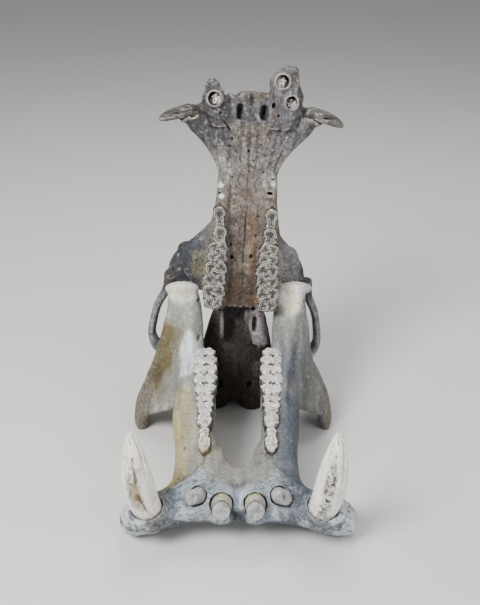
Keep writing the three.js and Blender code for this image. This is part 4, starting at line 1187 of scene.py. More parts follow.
def paint_jaw(p, normal, hollow):
    """Blue-grey front, cream necks, olive and rust streaks down the rami and beige hooks."""
    k = colours()
    x, f, h = p.T
    side, left = np.abs(x), ramp(x, -6, 6)
    patch = layered(p, 55, 41)
    streak = layered(stretched(p, 1.0, 0.16, 0.16), 7, 53)
    c = Paint(len(p), k.jaw)
    # The grainy front, the blue-grey left branch and the tan stain on the right one.
    front = ramp(f - np.interp(x, *zip(*GRAIN_LINE)), -10, 12)
    c.over(k.jaw_front, front * (0.8 + 0.3 * patch))
    c.over("#5d626b", left * (1 - front) * ramp(side, 40, 70) * (0.75 + 0.5 * patch))
    c.over("#3c424d", left * around(side, 102, 8, 14) * ramp(f, 200, 240) * fade(f, 350, 400) * 0.7)
    c.over("#a9a394", left * ramp(side, 112, 124) * ramp(f, 215, 250) * fade(f, 350, 400) * 0.6)
    stain = (1 - left) * ramp(f, 190, 225) * (1 - front) * ramp(side, 62, 80)
    c.over(k.stain, stain * around(side, 114, 18, 12) * (0.6 + 0.5 * spots(p, 40, 59, -0.1, 0.4)))
    c.over("#8d8f7c", stain * around(side, 96, 5, 8) * 0.35)
    # Necks and condyles, with a painted highlight on the left condyle.
    c.over("#94958c", ramp(h, -10, 30) * fade(f, 60, 120) * 0.8)
    c.over(k.neck, ramp(h, 46, 60) * fade(f, 60, 120))
    c.over("#fffdf5", left * ramp(h, 42, 54) * fade(f, 60, 120) * 0.85)
    c.over("#c9c28f", ramp(noise(p, 26, 57), 0.25, 0.6) * ramp(h, 30, 50) * 0.5)
    c.over("#aaa48a", (1 - left) * ramp(f, 180, 230) * fade(f, 350, 400) * 0.35)
    # The plates of the angles, a painted highlight along the facet on the right ramus, and the hooks.
    edge = np.interp(h, *zip(*[(row[0], row[1]) for row in reversed(FLANGE["right"])]))
    outer = (1 - left) * ramp(side, edge - 50, edge - 24) * fade(h, 14, 46) * ramp(h, -112, -80)
    c.over("#5f553a", outer * (0.8 + 0.5 * ramp(streak, -0.1, 0.4)))
    c.over("#594631", outer * ramp(layered(stretched(p, 1.0, 0.22, 0.22), 9, 61), 0.15, 0.5) * 0.6)
    c.over("#8a938c", (1 - left) * fade(side, 70, 96) * fade(f, 200, 280) * 0.6)
    facet = line_gap(((-98, 108), (-97, 132), (-101, 158)), x, f) + 4 * noise(p, 24, 127)
    # Painted highlight along the facet.
    c.over("#d3d9dd", fade(facet, 10, 20) * ramp(h, -50, -26) * 0.85)
    right_plate = left * ramp(side, 112, 134) * fade(f, 200, 260)
    c.over("#72706a", right_plate * 0.7)
    c.over(k.hook, ramp(side, 165, 186) * fade(f, 240, 300) * 0.9)
    c.shade(1 - 0.08 * fade(h, 30, 60) * ramp(f, 120, 170) * (1 - front))
    # Behind the notch between the branches, then the mottled front, chin and bulges.
    notch = fade(side, 44, 74) * ramp(f, 345, 372) * fade(f, 400, 436)
    c.over("#7f807b", notch * 0.85)
    c.over("#979080", notch * ramp(patch, 0.0, 0.4) * 0.3)
    c.over("#4d5259", spots(p, 24, 67, 0.0, 0.4) * ramp(f, 380, 425) * 0.75)
    c.over("#464c54", around(x, 100, 18, 20) * around(f, 432, 26, 24) * 0.75)
    c.over("#33373d", spots(p, 3.0, 129, 0.16, 0.42) * front * 0.6)
    c.over("#d4dae0", spots(p, 3.2, 131, 0.34, 0.6) * front * 0.3)
    c.over("#b3bec9", around(x, 0, 12, 12) * around(f, 448, 14, 12) * 0.7)
    # Painted shade in the groove down the middle of the chin's front.
    c.over("#34363a", around(x, 0, 9, 10) * ramp(f, 459, 472) * 0.8)
    # Painted shade on the front face below the ridge, inside the bulges.
    c.over("#3d4046", around(side, 128, 5, 9) * ramp(f, 446, 470) * ramp(-h, 22, 34) * 0.6)
    c.over("#ccd3da", ramp(side, 138, 160) * ramp(f, 430, 460) * 0.75)
    # Painted shade where the front's surface faces down.
    c.over("#3c3f45", ramp(-normal[:, 2], -0.1, 0.5) * ramp(f, 440, 470) * fade(side, 126, 146) * 0.8)
    # Painted shade along the creases.
    for points in GRAIN_CREASES:
        c.over("#3d4147", bump(line_gap(points, x, f), 4) * (h > -40) * 0.6)
    c.over("#55575a", ramp(side, 120, 150) * ramp(f, 420, 450) * spots(p, 12, 73, 0.0, 0.35) * 0.8)
    # Streaks, grain, then painted shade in the hollows and painted highlights on the ridges over it all.
    c.shade(1 + 0.42 * streak * fade(f, 380, 430) * fade(h, 40, 56))
    grain = 0.35 + 0.35 * np.maximum(front, ramp(side, 150, 180))
    c.shade(1 + (0.62 * layered(p, 4.6, 75) + 0.40 * noise(p, 3.0, 77)) * grain)
    c.over("#c4c2ba", spots(p, 6, 71, 0.4, 0.7) * 0.3)
    c.over("#28241f", ramp(hollow, 0.35, 2.0) * 0.85)
    c.over("#cfd0cb", ramp(-hollow, 0.4, 2.2) * 0.45)
    return c.rgb


def paint_teeth(upper, side):
    """Bright enamel loops round worn dentine, with dark valleys between the lobes."""

    def paint(p, normal, hollow):
        k = colours()
        u, v, up = row_place(upper, p.T)
        _, line, edge = row_heights(upper, side, u, v)
        fine = layered(p, 5, 81)
        wide = sizes().enamel / MM
        deep = fade(up - (0 if upper else 2), -9, -5)
        c = Paint(len(p), k.dentine if upper else "#a9a59f")
        c.over("#4b443b" if upper else "#77736e", spots(p, 7, 85, -0.1, 0.35) * 0.75)
        if not upper:
            c.over(k.enamel, ramp(-line, 0.2, 2.0) * (0.75 + 0.5 * fine))
            c.over("#55524e", around(line, -4.4, 0.5, 0.9) * (0.75 + 0.6 * fine))
            c.over("#4a4743", bump(np.abs(layered(p, 7, 125)), 0.09) * 0.75)
        c.over("#453e36" if upper else "#32302e", ramp(line, -0.1, 1.1) * 0.9)
        thin = 0.7 if upper else 1.0
        c.over(k.enamel, around(line, -wide * 0.5, wide * 0.4 * thin, 0.5 * thin) * (0.8 + 0.5 * fine))
        c.over(k.enamel, around(line, -wide * 2.9, wide * 0.25, 0.5 * thin) * (0.5 + 0.8 * fine))
        rim = around(edge, -1.0, 0.4, 0.6) * fade(-up, 5, 9)
        c.over(k.enamel, rim * ((0.5 if upper else 0.75) + 0.5 * fine))
        if not upper:
            c.over("#f0ede6", ramp(fine, 0.1, 0.4) * ramp(-line, 0.5, 2.0) * 0.8)
            pink = around(u, 338, 14, 10) + (side == "right") * around(u, 284, 14, 12)
            c.over("#8f8078", pink * ramp(-line, 1.5, 3.5) * spots(p, 6, 83, -0.2, 0.3) * 0.7)
        # Painted shade down in the deep gaps and on the low sides of the teeth.
        c.over("#2f2a25" if upper else "#33302c", deep * 0.8)
        if not upper:
            c.over("#7d7a43", ramp(noise(p, 9, 87), 0.55, 0.75) * 0.5)
            c.over("#a08a48", around(u, 356, 3, 5) * (side == "right") * 0.5)
        c.shade(1 + 0.36 * layered(p, 4, 89))
        # Painted shade in the hollows.
        c.over("#2a241e", ramp(hollow, 0.25, 1.2) * 0.75)
        return c.rgb

    return paint


def tusk_across(side, x, h):
    """Place across the tusk: -1 at its inner edge, 1 at its outer one."""
    heights, middles, halves = zip(*[(row[2], row[0] + TUSK_SHIFT[side], row[3]) for row in LOWER_CANINE])
    return (np.abs(x) - np.interp(h, heights, middles)) / np.interp(h, heights, halves)


def paint_tusk(side):
    """Ivory with cracks along it: a tan hollow worn in one tusk, black specks down the other."""

    def paint(p, normal, hollow):
        k = colours()
        x, _, h = p.T
        across = tusk_across(side, x, h)
        streak = layered(stretched(p, 1.0, 1.0, 0.12), 5, 91)
        crack = bump(np.abs(noise(stretched(p, 1.0, 1.0, 0.10), 9, 117)), 0.05)
        c = Paint(len(p), k.ivory)
        c.over(k.ivory_stain, ramp(streak, 0.2, 0.6) * 0.4)
        c.over("#8f8a80", spots(p, 16, 93, 0.3, 0.6) * 0.35)
        c.over("#5f564a", crack * spots(p, 30, 119, -0.2, 0.2) * 0.6)
        c.over("#85735a", fade(h, -36, 2) * 0.55)
        speck = spots(p, 4.2, 97, 0.0, 0.32)
        if side == "right":
            worn = around(across, 0.1, 0.3, 0.35) * around(h, 48, 24, 16)
            c.over("#a4967b", worn * (0.55 + 0.5 * ramp(streak, -0.2, 0.4)))
            c.over("#4f4a42", worn * speck * 0.7)
            # Dark brown painted shade in the worn hollow.
            core = np.hypot((across + 0.05) / 0.24, (h - 42) / 11)
            c.over("#6a5434", fade(core, 0.4, 1.2) * 0.9)
            split = np.interp(h, (-14, 46), (-0.62, -0.05))
            c.over("#473a2b", around(across, split, 0.03, 0.10) * fade(h, 40, 52) * 0.75)
            c.over("#f6f2e9", around(across, -0.55, 0.12, 0.14) * around(h, 40, 40, 20) * 0.5)
            c.over("#6b675f", around(across, 0.0, 0.5, 0.3) * around(h, 92, 8, 10) * speck * 0.6)
        else:
            band = around(across, -0.22 + 0.1 * noise(p, 22, 121), 0.2, 0.22) * fade(h, 84, 104)
            c.over("#6d6a66", band * spots(p, 9, 123, -0.4, 0.2) * 0.6)
            c.over("#3b3936", band * speck * 0.9)
            core = around(across, -0.25, 0.09, 0.14) * around(h, 48, 20, 14)
            c.over("#1f1d1b", core * ramp(speck, 0.1, 0.6))
            c.over("#f3eceb", ramp(across, 0.25, 0.5) * 0.5)
        c.shade(1 + 0.14 * layered(p, 5, 95))
        # Painted shade in the hollows.
        c.over("#4a3b2a", ramp(hollow, 0.3, 1.6) * 0.6)
        return c.rgb

    return paint


def paint_upper_canine(p, normal, hollow):
    """Dark splintered ivory, with pale splinters and a rim of enamel below."""
    k = colours()
    streak = layered(stretched(p, 0.2, 0.6, 1.0), 5, 101)
    c = Paint(len(p), "#565350")
    c.over("#2e2b29", ramp(streak, -0.1, 0.4) * 0.85)
    c.over("#a9a49a", ramp(layered(stretched(p, 0.25, 1, 1), 5, 103), 0.1, 0.4) * 0.6)
    rim = fade(p[:, 2], 596, 610)
    c.over(k.enamel, ramp(noise(stretched(p, 0.35, 1, 1), 7, 133), 0.3, 0.6) * rim * 0.7)
    # Painted highlights on the ridges.
    c.over("#8f8a82", ramp(-hollow, 0.3, 1.4) * 0.7)
    c.shade(1 + 0.3 * layered(p, 4, 105))
    # Painted shade in the hollows.
    c.over("#2c2620", ramp(hollow, 0.25, 1.3) * 0.8)
    return c.rgb


def paint_stump(p, normal, hollow):
    """Grey dentine, tan where it leaves the socket, with a crescent of painted shade behind its worn end."""
    k = colours()
    c = Paint(len(p), k.stump)
    side = np.abs(p[:, 0])
    first = side < 46
    mouth = np.where(first, 464, 451)
    beyond = p[:, 1] - mouth - 6 * ((side - np.where(first, 28.5, 74)) / 13) ** 2
    c.over("#b3a98f", fade(beyond, 2, 6) * (first * 0.6 + 0.3))
    # A crescent of painted shade behind the worn end.
    c.over("#45434a", around(beyond, 8, 1.5, 3) * (first * 0.45 + 0.3))
    c.over("#8b8088", ramp(normal[:, 0] * np.sign(p[:, 0]), 0.1, 0.8) * 0.5)
    c.over("#66656a", spots(p, 9, 109, 0.0, 0.45) * 0.7)
    c.shade(1 + 0.35 * layered(stretched(p, 1, 0.3, 1), 3.5, 111))
    # Painted shade in the hollows.
    c.over("#332c27", ramp(hollow, 0.3, 1.5) * 0.7)
    return c.rgb


def paint_filling(p):
    """White crystals with grey dirt between them."""
    c = Paint(len(p), colours().filling)
    c.over("#8c857a", spots(p, 3, 113, 0.0, 0.4) * 0.7)
    return c.rgb


# ---- meshes


def blurred(d, wide):
    """The field averaged over a box: over a hollow it turns positive, over a ridge negative."""
    out = d
    for axis in range(3):
        out = np.moveaxis(out, axis, 0)
        total = np.cumsum(np.pad(out, ((wide + 1, wide), (0, 0), (0, 0)), mode="edge"), 0, dtype=np.float64)
        mean = (total[2 * wide + 1 :] - total[: -2 * wide - 1]) / (2 * wide + 1)
        out = np.moveaxis(mean.astype(np.float32), 0, axis)
    return out


def sampled(field, values, points):
    """Values of a grid at points, between the grid's own places."""
    q = points / field.step - field.first
    i = np.clip(np.floor(q).astype(int), 0, np.array(values.shape) - 2)
    t = np.clip(q - i, 0, 1)
    total = 0
    for corner in range(8):
        b = [(corner >> a) & 1 for a in range(3)]
        weight = np.prod([t[:, a] if b[a] else 1 - t[:, a] for a in range(3)], axis=0)
        total = total + weight * values[i[:, 0] + b[0], i[:, 1] + b[1], i[:, 2] + b[2]]
    return total


def main_shells(count, faces, share=0.02):
    """Which points belong to connected shells that are more than crumbs."""
    label = np.arange(count)
    a = np.concatenate([faces[:, 0], faces[:, 1], faces[:, 2]])
    b = np.concatenate([faces[:, 1], faces[:, 2], faces[:, -1]])
    while True:
        low = np.minimum(label[a], label[b])
        new = label.copy()
        np.minimum.at(new, label[a], low)
        np.minimum.at(new, label[b], low)
        new = new[new]
        new = new[new]
        if np.array_equal(new, label):
            break
        label = new
    _, index, tally = np.unique(label, return_inverse=True, return_counts=True)
    return tally[index] > share * count


def normals_of(points, faces):
    """The unit normal of each point, out of the faces round it."""
    n = np.cross(points[faces[:, 2]] - points[faces[:, 0]], points[faces[:, -1]] - points[faces[:, 1]])
    total = np.zeros_like(points)
    for corner in range(faces.shape[1]):
        for axis in range(3):
            total[:, axis] += np.bincount(faces[:, corner], n[:, axis], len(points))
    return total / np.maximum(np.linalg.norm(total, axis=1)[:, None], 1e-9)


def skin(name, field, bone_frame, paint, roughen=None, window=None, mask=None, spread=4.0):
    """Meshes a field, roughens and paints it, and makes the piece's object."""
    points, faces = field.mesh(mask, window)
    points = points.astype(float)
    keep = main_shells(len(points), faces)
    new = np.cumsum(keep) - 1
    faces = new[faces[keep[faces[:, 0]]]]
    points = points[keep]
    normal = normals_of(points, faces)
    outward = sampled(field, field.d, points + normal * field.step * 0.5) > sampled(
        field, field.d, points - normal * field.step * 0.5
    )
    if outward.mean() < 0.5:
        faces, normal = faces[:, ::-1], -normal
    wide = max(1, round(spread / field.step))
    hollow = -sampled(field, blurred(field.d, wide), points)
    if roughen:
        points = points + normal * roughen(points)[:, None]
    rgb = paint(points, normal, hollow)
    if bone_frame.determinant() < 0:
        faces = faces[:, ::-1]
    world = to_part(points, bone_frame)
    low, high = np.array(CAD_BOX[0]) + INSET, np.array(CAD_BOX[1]) - INSET
    low[2] = CAD_BOX[0][2]
    return mesh_object(name, np.clip(world, low, high), faces, rgb)


def tinted(mesh, rgb):
    """Writes the painted colours on a mesh's points."""
    tint = mesh.color_attributes.new("Tint", "FLOAT_COLOR", "POINT")
    tint.data.foreach_set("color", np.column_stack([rgb, np.ones(len(rgb))]).astype(np.float32).ravel())


def placed(name, mesh):
    """A piece's object, in place of an earlier one of its name."""
    if name in bpy.data.objects:
        bpy.data.objects.remove(bpy.data.objects[name])
    piece = bpy.data.objects.new(name, mesh)
    bpy.context.scene.collection.objects.link(piece)
    return piece


def mesh_object(name, points, faces, rgb):
    """Makes a piece's object from points, quads and painted colours."""
    mesh = bpy.data.meshes.new(name)
    mesh.vertices.add(len(points))
    mesh.vertices.foreach_set("co", points.astype(np.float32).ravel())
    mesh.loops.add(faces.size)
    mesh.loops.foreach_set("vertex_index", faces.astype(np.int32).ravel())
    mesh.polygons.add(len(faces))
    mesh.polygons.foreach_set("loop_start", np.arange(0, faces.size, faces.shape[1], dtype=np.int32))
    mesh.update(calc_edges=True)
    mesh.validate()
    mesh.shade_smooth()
    tinted(mesh, rgb)
    return placed(name, mesh)


def weathered(seed, spongy):
    """Slow swellings and shallow pits of old bone, in millimetres along the normal."""
    strength = sizes().weathering / MM

    def height(p):
        pits = ramp(noise(p, 6.5, seed + 5), 0.42, 0.8)
        even = 0.55 * layered(p, 26, seed) - 0.75 * pits + 0.26 * noise(p, 3.8, seed + 9) - 0.15
        sponge = 1.2 * layered(p, 11, seed + 13) - 1.5 * ramp(noise(p, 5.2, seed + 17), 0.15, 0.6)
        return strength * (even + spongy(p) * sponge)

    return height


def spongy_cranium(p):
    """Where the cranium's bone is coarse: canine tubes, snout tips, cheekbones and back."""
    x, _, z = p.T
    side = np.abs(x)
    wings = ramp(side, 88, 112) * ramp(z, 560, 600)
    tips = ramp(z, 640, 680) * 0.8
    cheeks = ramp(side, 112, 140) * ramp(z, 250, 290) * 0.5
    back = fade(z, 170, 240) * fade(side, 60, 90) * 0.5
    return np.clip(wings + tips + cheeks + back, 0, 1)


def spongy_jaw(p):
    """Where the jaw's bone is coarse: chin bulges, lip and hooks."""
    x, f, _ = p.T
    side = np.abs(x)
    bulges = ramp(side, 130, 165) * ramp(f, 420, 450)
    lip = ramp(f, 420, 470) * 0.6
    hooks = ramp(side, 160, 190) * fade(f, 240, 300) * 0.45
    return np.clip(bulges + lip + hooks, 0, 1)


# ---- materials


def node(tree, kind, settings=None, links=None):
    """Adds a node with its settings, and links its inputs to other nodes' outputs."""
    made = tree.nodes.new(kind)
    for key, value in (settings or {}).items():
        if isinstance(key, int) or key in made.inputs.keys():
            made.inputs[key].default_value = value
        else:
            setattr(made, key, value)
    for key, output in (links or {}).items():
        tree.links.new(output, made.inputs[key])
    return made


def spread_of(tree, value, low, high, start=0.32, end=0.68):
    """A value's middle range stretched between two numbers."""
    settings = {"From Min": start, "From Max": end, "To Min": low, "To Max": high}
    return node(tree, "ShaderNodeMapRange", settings, {"Value": value}).outputs["Result"]


def blank_material(name):
    """A new material, its empty node tree and the object's coordinates in it."""
    material = bpy.data.materials.new(name)
    material.use_nodes = True
    tree = material.node_tree
    tree.nodes.clear()
    return material, tree, node(tree, "ShaderNodeTexCoord").outputs["Object"]


def mineral(name, grain, pore, mottle, roughness, relief, gloss=0.3):
    """A painted, mottled and pitted mineral surface; grain and pore are sizes in millimetres."""
    material = bpy.data.materials.get(name)
    if material:
        return material
    material, tree, place = blank_material(name)
    tint = node(tree, "ShaderNodeAttribute", {"attribute_name": "Tint"}).outputs["Color"]
    noises = []
    for size, detail, rough in ((grain, 4.0, 0.65), (grain * 2.6, 3.0, 0.6), (grain * 10, 3.0, 0.5)):
        settings = {"Scale": 1000 / size, "Detail": detail, "Roughness": rough}
        noises.append(node(tree, "ShaderNodeTexNoise", settings, {"Vector": place}).outputs["Fac"])
    fine, middle, clouds = noises
    settings = {"Scale": 1000 / pore, "Randomness": 1.0}
    pores = node(tree, "ShaderNodeTexVoronoi", settings, {"Vector": place}).outputs["Distance"]
    holes = spread_of(tree, pores, 0.0, 1.0, 0.08, 0.32)
    factor = spread_of(tree, fine, 1 - mottle, 1 + mottle)
    for value, share in ((middle, 0.85), (clouds, 0.5)):
        light = spread_of(tree, value, 1 - mottle * share, 1 + mottle * share)
        factor = node(tree, "ShaderNodeMath", {"operation": "MULTIPLY"}, {0: factor, 1: light}).outputs[0]
    dark = spread_of(tree, holes, 1 - mottle * 1.3, 1.0, 0.0, 1.0)
    factor = node(tree, "ShaderNodeMath", {"operation": "MULTIPLY"}, {0: factor, 1: dark}).outputs[0]
    links = {0: tint, "Scale": factor}
    colour = node(tree, "ShaderNodeVectorMath", {"operation": "SCALE"}, links).outputs[0]
    rough = spread_of(tree, clouds, roughness - 0.12, min(1.0, roughness + 0.12))
    settings = {"operation": "MULTIPLY_ADD", 1: 0.6}
    raised = node(tree, "ShaderNodeMath", settings, {0: holes, 2: fine}).outputs[0]
    raised = node(tree, "ShaderNodeMath", {"operation": "MULTIPLY_ADD", 1: 1.6}, {0: middle, 2: raised})
    settings = {"Strength": relief, "Distance": grain * 0.3 * MM}
    relieved = node(tree, "ShaderNodeBump", settings, {"Height": raised.outputs[0]}).outputs["Normal"]
    links = {"Base Color": colour, "Roughness": rough, "Normal": relieved}
    surface = node(tree, "ShaderNodeBsdfPrincipled", {"Specular IOR Level": gloss}, links)
    node(tree, "ShaderNodeOutputMaterial", None, {"Surface": surface.outputs["BSDF"]})
    return material


# Each finish: the material's name, grain and pore in millimetres, mottle, roughness, relief and gloss.
FINISHES = {
    # Matt grey-brown fossil bone, speckled, with a fine grain and open pores.
    "cranium": ("fossil_bone_weathered_grey", 2.1, 3.0, 0.40, 0.78, 1.0),
    # Paler fossil bone, streaked and speckled by ground water.
    "jaw": ("fossil_bone_weathered_pale", 2.1, 3.0, 0.21, 0.68, 0.8),
    # Worn enamel over dentine: smoother and a little glossy.
    "teeth": ("tooth_enamel_ground_by_chewing", 2.0, 3.6, 0.12, 0.42, 0.3, 0.5),
    # Ivory with fine cracks along its length.
    "tusk": ("tusk_ivory_dried", 2.4, 5.0, 0.10, 0.46, 0.3, 0.45),
    # Broken canine, splintered and dull.
    "canine": ("canine_ivory_splintered", 2.4, 3.0, 0.24, 0.7, 0.9),
    # Broken dentine, dull and granular.
    "stump": ("dentine_broken", 2.2, 2.6, 0.18, 0.66, 0.6),
    # White crystals that filled an empty socket in the ground.
    "filling": ("calcite_grown_in_socket", 1.6, 2.0, 0.14, 0.6, 0.6),
}


def settle(piece, finish, slot, *nodes):
    """Gives a piece its finish and its body, and hides the solids that it stands for; the slot is not used.
    """
    if not piece.data.materials:
        piece.data.materials.append(mineral(*FINISHES[finish]))
    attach(piece, BODY)
    if nodes:
        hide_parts(*nodes)


# ---- the bones of the cranium


def wave(values, size, seed, high):
    """A gentle wander along one coordinate."""
    flat = np.asarray(values, float)
    p = np.stack([flat, np.zeros_like(flat), np.zeros_like(flat)], -1)
    return (high * layered(p, size, seed, 2)).astype(np.float32)


def bone_masks(x, y, z):
    """Fields that are negative inside each bone's share of the cranium."""
    wx, wy, wz = wave(x, 16, 201, 2.5), wave(y, 18, 203, 2.0), wave(z, 18, 207, 2.0)
    roof = np.maximum(ROOF_SEAM - y + wx + wz, np.maximum(ROOF_BACK - z + wx, z - ROOF_FRONT + wx))
    seam = np.interp(np.abs(x), [0, 20, 37, 51, 70, 92], [578, 584, 589, 606, 611, 620]).astype(np.float32)
    snout = np.maximum(seam - z + wx, np.abs(x) - PREMAXILLA_REACH + wz * 0.5)
    masks = {"frontal_roof": roof}
    cheeks = {}
    for side, sign in SIDES.items():
        cheeks[side] = np.maximum(
            CHEEK_SEAM - sign * x + wz + wy, np.maximum(CHEEK_BACK - z, z - CHEEK_FRONT + wy)
        )
        half = -sign * x + wz * 0.35 * sign
        masks[f"zygomatic_{side}"] = np.maximum(cheeks[side], -roof)
        masks[f"premaxilla_{side}"] = np.maximum(snout, half)
        rest = np.maximum(np.maximum(-snout, -roof), np.maximum(-cheeks[side], half))
        masks[f"maxilla_{side}"] = np.maximum(rest, MAXILLA_BACK - z + wx + wy)
    behind = np.maximum(z - MAXILLA_BACK - wx - wy, -roof)
    masks["braincase"] = np.maximum(behind, np.maximum(-cheeks["left"], -cheeks["right"]))
    return masks


# The box that holds each bone of the cranium.
BONE_BOXES = {
    "frontal_roof": ((-194, 118, 216), (194, 206, 392)),
    "premaxilla_left": ((-8, -32, 566), (104, 130, 722)),
    "premaxilla_right": ((-104, -32, 566), (8, 130, 722)),
    "zygomatic_left": ((90, 20, 78), (194, 206, 384)),
    "zygomatic_right": ((-194, 20, 78), (-90, 206, 384)),
    "maxilla_left": ((-8, -32, 234), (194, 160, 722)),
    "maxilla_right": ((-194, -32, 234), (8, 160, 722)),
    "braincase": ((-194, -32, -6), (194, 206, 258)),
}
# Grids of the cranium already made, by their steps.
SHARED = {}


def grid_step(length):
    return length / MM


def cranium():
    """The cranium's field, made once for all its bones."""
    step = grid_step(sizes().detail)
    if step not in SHARED:
        f = cranium_field(step)
        f.d = np.maximum(f.d, ground_level(f, CRANIUM_FRAME))
        for side in SIDES:
            f.cut_out(bar(canine_stops(UPPER_CANINE, side), (0, 1, 0), grow=0.6), 1.0)
        SHARED[step] = f
    return SHARED[step]


def ground_level(f, bone_frame):
    """A field that is positive under the floor."""
    x, y, z = f.whole()
    m = np.array(bone_frame)
    level = -(m[2, 0] * x + m[2, 1] * y + m[2, 2] * z + m[2, 3])
    return np.clip(level, -f.reach, f.reach).astype(np.float32)


def build_cranium_bone(name):
    """One bone of the cranium, as far as its seams."""
    f = cranium()
    window, (x, y, z) = f.window(*BONE_BOXES[name])
    lap = sizes().seam_overlap / MM
    mask = np.clip(bone_masks(x, y, z)[name] - lap, -f.reach, f.reach).astype(np.float32)
    rough = weathered(11, spongy_cranium)
    piece = skin(f"{name}_bone", f, CRANIUM_FRAME, paint_cranium, rough, window, mask)
    settle(piece, "cranium", "cranium_bone", name)


def build_dentary(side):
    """One half of the lower jaw, as far as the middle plane."""
    f = jaw_field(side, grid_step(sizes().detail * 1.17))
    f.d = np.maximum(f.d, ground_level(f, JAW_FRAME))
    x = f.whole()[0]
    half = np.clip(-SIDES[side] * x - sizes().seam_overlap / MM, -f.reach, f.reach)
    f.d = np.maximum(f.d, half.astype(np.float32))
    piece = skin(f"dentary_{side}_bone", f, JAW_FRAME, paint_jaw, weathered(31, spongy_jaw))
    settle(piece, "jaw", "jaw_bone", f"dentary_{side}")


def build_tooth_row(upper, side):
    """A row of cheek teeth."""
    f = tooth_row_field(upper, side, grid_step(sizes().tooth_detail * 1.08))
    name = f"cheek_teeth_{'upper' if upper else 'lower'}_{side}"
    bone_frame = CRANIUM_FRAME if upper else JAW_FRAME

    def rough(p):
        return (0.15 if upper else 0.4) * layered(p, 5, 61)

    piece = skin(name, f, bone_frame, paint_teeth(upper, side), rough, spread=2.5)
    settle(piece, "teeth", "upper_ivory" if upper else "tusk_ivory")


def build_upper_canine(side):
    """A broken upper canine, splintered along its length."""
    f = upper_canine_field(side, grid_step(sizes().tooth_detail))

    def rough(p):
        return 0.5 * layered(stretched(p, 0.25, 0.7, 1.0), 4, 71) + 0.4 * layered(p, 6, 75)

    piece = skin(f"upper_canine_{side}_ivory", f, CRANIUM_FRAME, paint_upper_canine, rough, spread=2.5)
    settle(piece, "canine", "upper_ivory", f"upper_canine_{side}")


def build_lower_canine(side):
    """A lower tusk: ribbed, and the left one pitted low on its worn face."""
    f = lower_canine_field(side, grid_step(sizes().tooth_detail * 1.25))

    def rough(p):
        ribs = 0.22 * layered(stretched(p, 1.0, 1.0, 0.15), 4.5, 73)
        if side == "right":
            return ribs
        face = ramp(-(p[:, 0] - 158) * 0.6 + (p[:, 1] - 478) * 0.66 + (p[:, 2] - 34) * 0.2, -6, 3)
        low = fade(p[:, 2], 30, 84) * face
        return ribs - 1.2 * low * ramp(noise(p, 5.0, 77), 0.05, 0.5)

    piece = skin(f"lower_canine_{side}_ivory", f, JAW_FRAME, paint_tusk(side), rough, spread=3.0)
    settle(piece, "tusk", "tusk_ivory", f"lower_canine_{side}")


def build_stump(name, side):
    """A broken lower incisor."""
    f = stump_field(name, side, grid_step(sizes().tooth_detail * 1.3))

    def rough(p):
        return 0.45 * layered(p, 6, 79)

    piece = skin(f"lower_incisor_{name}_{side}_stump", f, JAW_FRAME, paint_stump, rough, spread=2.5)
    settle(piece, "stump", "incisor_dentine", f"lower_incisor_{name}_{side}")


# ---- socket fillings

FILLED = (
    # x, y, z and radius of the patch of lumps in each open socket, in the cranium's frame
    (51.8, -1.4, 683.4, 8.6),
    (71.4, -1.4, 646.0, 7.6),
    (-68.4, -1.4, 646.4, 8.6),
    (48.5, 0.5, 496.0, 4.0),
    (-51.0, -2.5, 488.0, 5.5),
    (-47.5, -2.5, 467.0, 4.5),
)
LUMP_INPUTS = (
    ("Lump Radius", "NodeSocketFloat"),
    ("Spacing", "NodeSocketFloat"),
    ("Roughness", "NodeSocketFloat"),
    ("Seed", "NodeSocketInt"),
    ("Material", "NodeSocketMaterial"),
)


def lump_tree():
    """Nodes that scatter rough, turned lumps of mixed sizes over a surface."""
    tree = bpy.data.node_groups.new("socket_lumps", "GeometryNodeTree")
    tree.interface.new_socket("Geometry", in_out="INPUT", socket_type="NodeSocketGeometry")
    for name, kind in LUMP_INPUTS:
        tree.interface.new_socket(name, in_out="INPUT", socket_type=kind)
    tree.interface.new_socket("Geometry", in_out="OUTPUT", socket_type="NodeSocketGeometry")
    given = node(tree, "NodeGroupInput").outputs
    spots = node(
        tree,
        "GeometryNodeDistributePointsOnFaces",
        {"distribute_method": "POISSON", "Density Max": 90000.0},
        {"Mesh": given["Geometry"], "Distance Min": given["Spacing"], "Seed": given["Seed"]},
    )
    ball = node(tree, "GeometryNodeMeshIcoSphere", {"Subdivisions": 3}, {"Radius": given["Lump Radius"]})
    bumps = node(tree, "ShaderNodeTexNoise", {"Scale": 420.0, "Detail": 2.0}).outputs["Fac"]
    centred = node(tree, "ShaderNodeMath", {"operation": "SUBTRACT", 1: 0.5}, {0: bumps}).outputs[0]
    high = node(tree, "ShaderNodeMath", {"operation": "MULTIPLY"}, {0: centred, 1: given["Roughness"]})
    outward = node(tree, "GeometryNodeInputNormal").outputs["Normal"]
    links = {0: outward, "Scale": high.outputs[0]}
    shift = node(tree, "ShaderNodeVectorMath", {"operation": "SCALE"}, links).outputs[0]
    lump = node(tree, "GeometryNodeSetPosition", None, {"Geometry": ball.outputs["Mesh"], "Offset": shift})
    size = node(tree, "FunctionNodeRandomValue", {2: 0.55, 3: 1.25}, {"Seed": given["Seed"]}).outputs[1]
    settings = {"data_type": "FLOAT_VECTOR", 0: (0.0, 0.0, 0.0), 1: (6.28, 6.28, 6.28)}
    turn = node(tree, "FunctionNodeRandomValue", settings, {"Seed": given["Seed"]}).outputs[0]
    links = {"Points": spots.outputs["Points"], "Instance": lump.outputs["Geometry"], "Rotation": turn}
    put = node(tree, "GeometryNodeInstanceOnPoints", None, {**links, "Scale": size}).outputs["Instances"]
    real = node(tree, "GeometryNodeRealizeInstances", None, {"Geometry": put}).outputs["Geometry"]
    links = {"Geometry": real, "Material": given["Material"]}
    coated = node(tree, "GeometryNodeSetMaterial", None, links).outputs["Geometry"]
    node(tree, "NodeGroupOutput", None, {"Geometry": coated})
    return tree


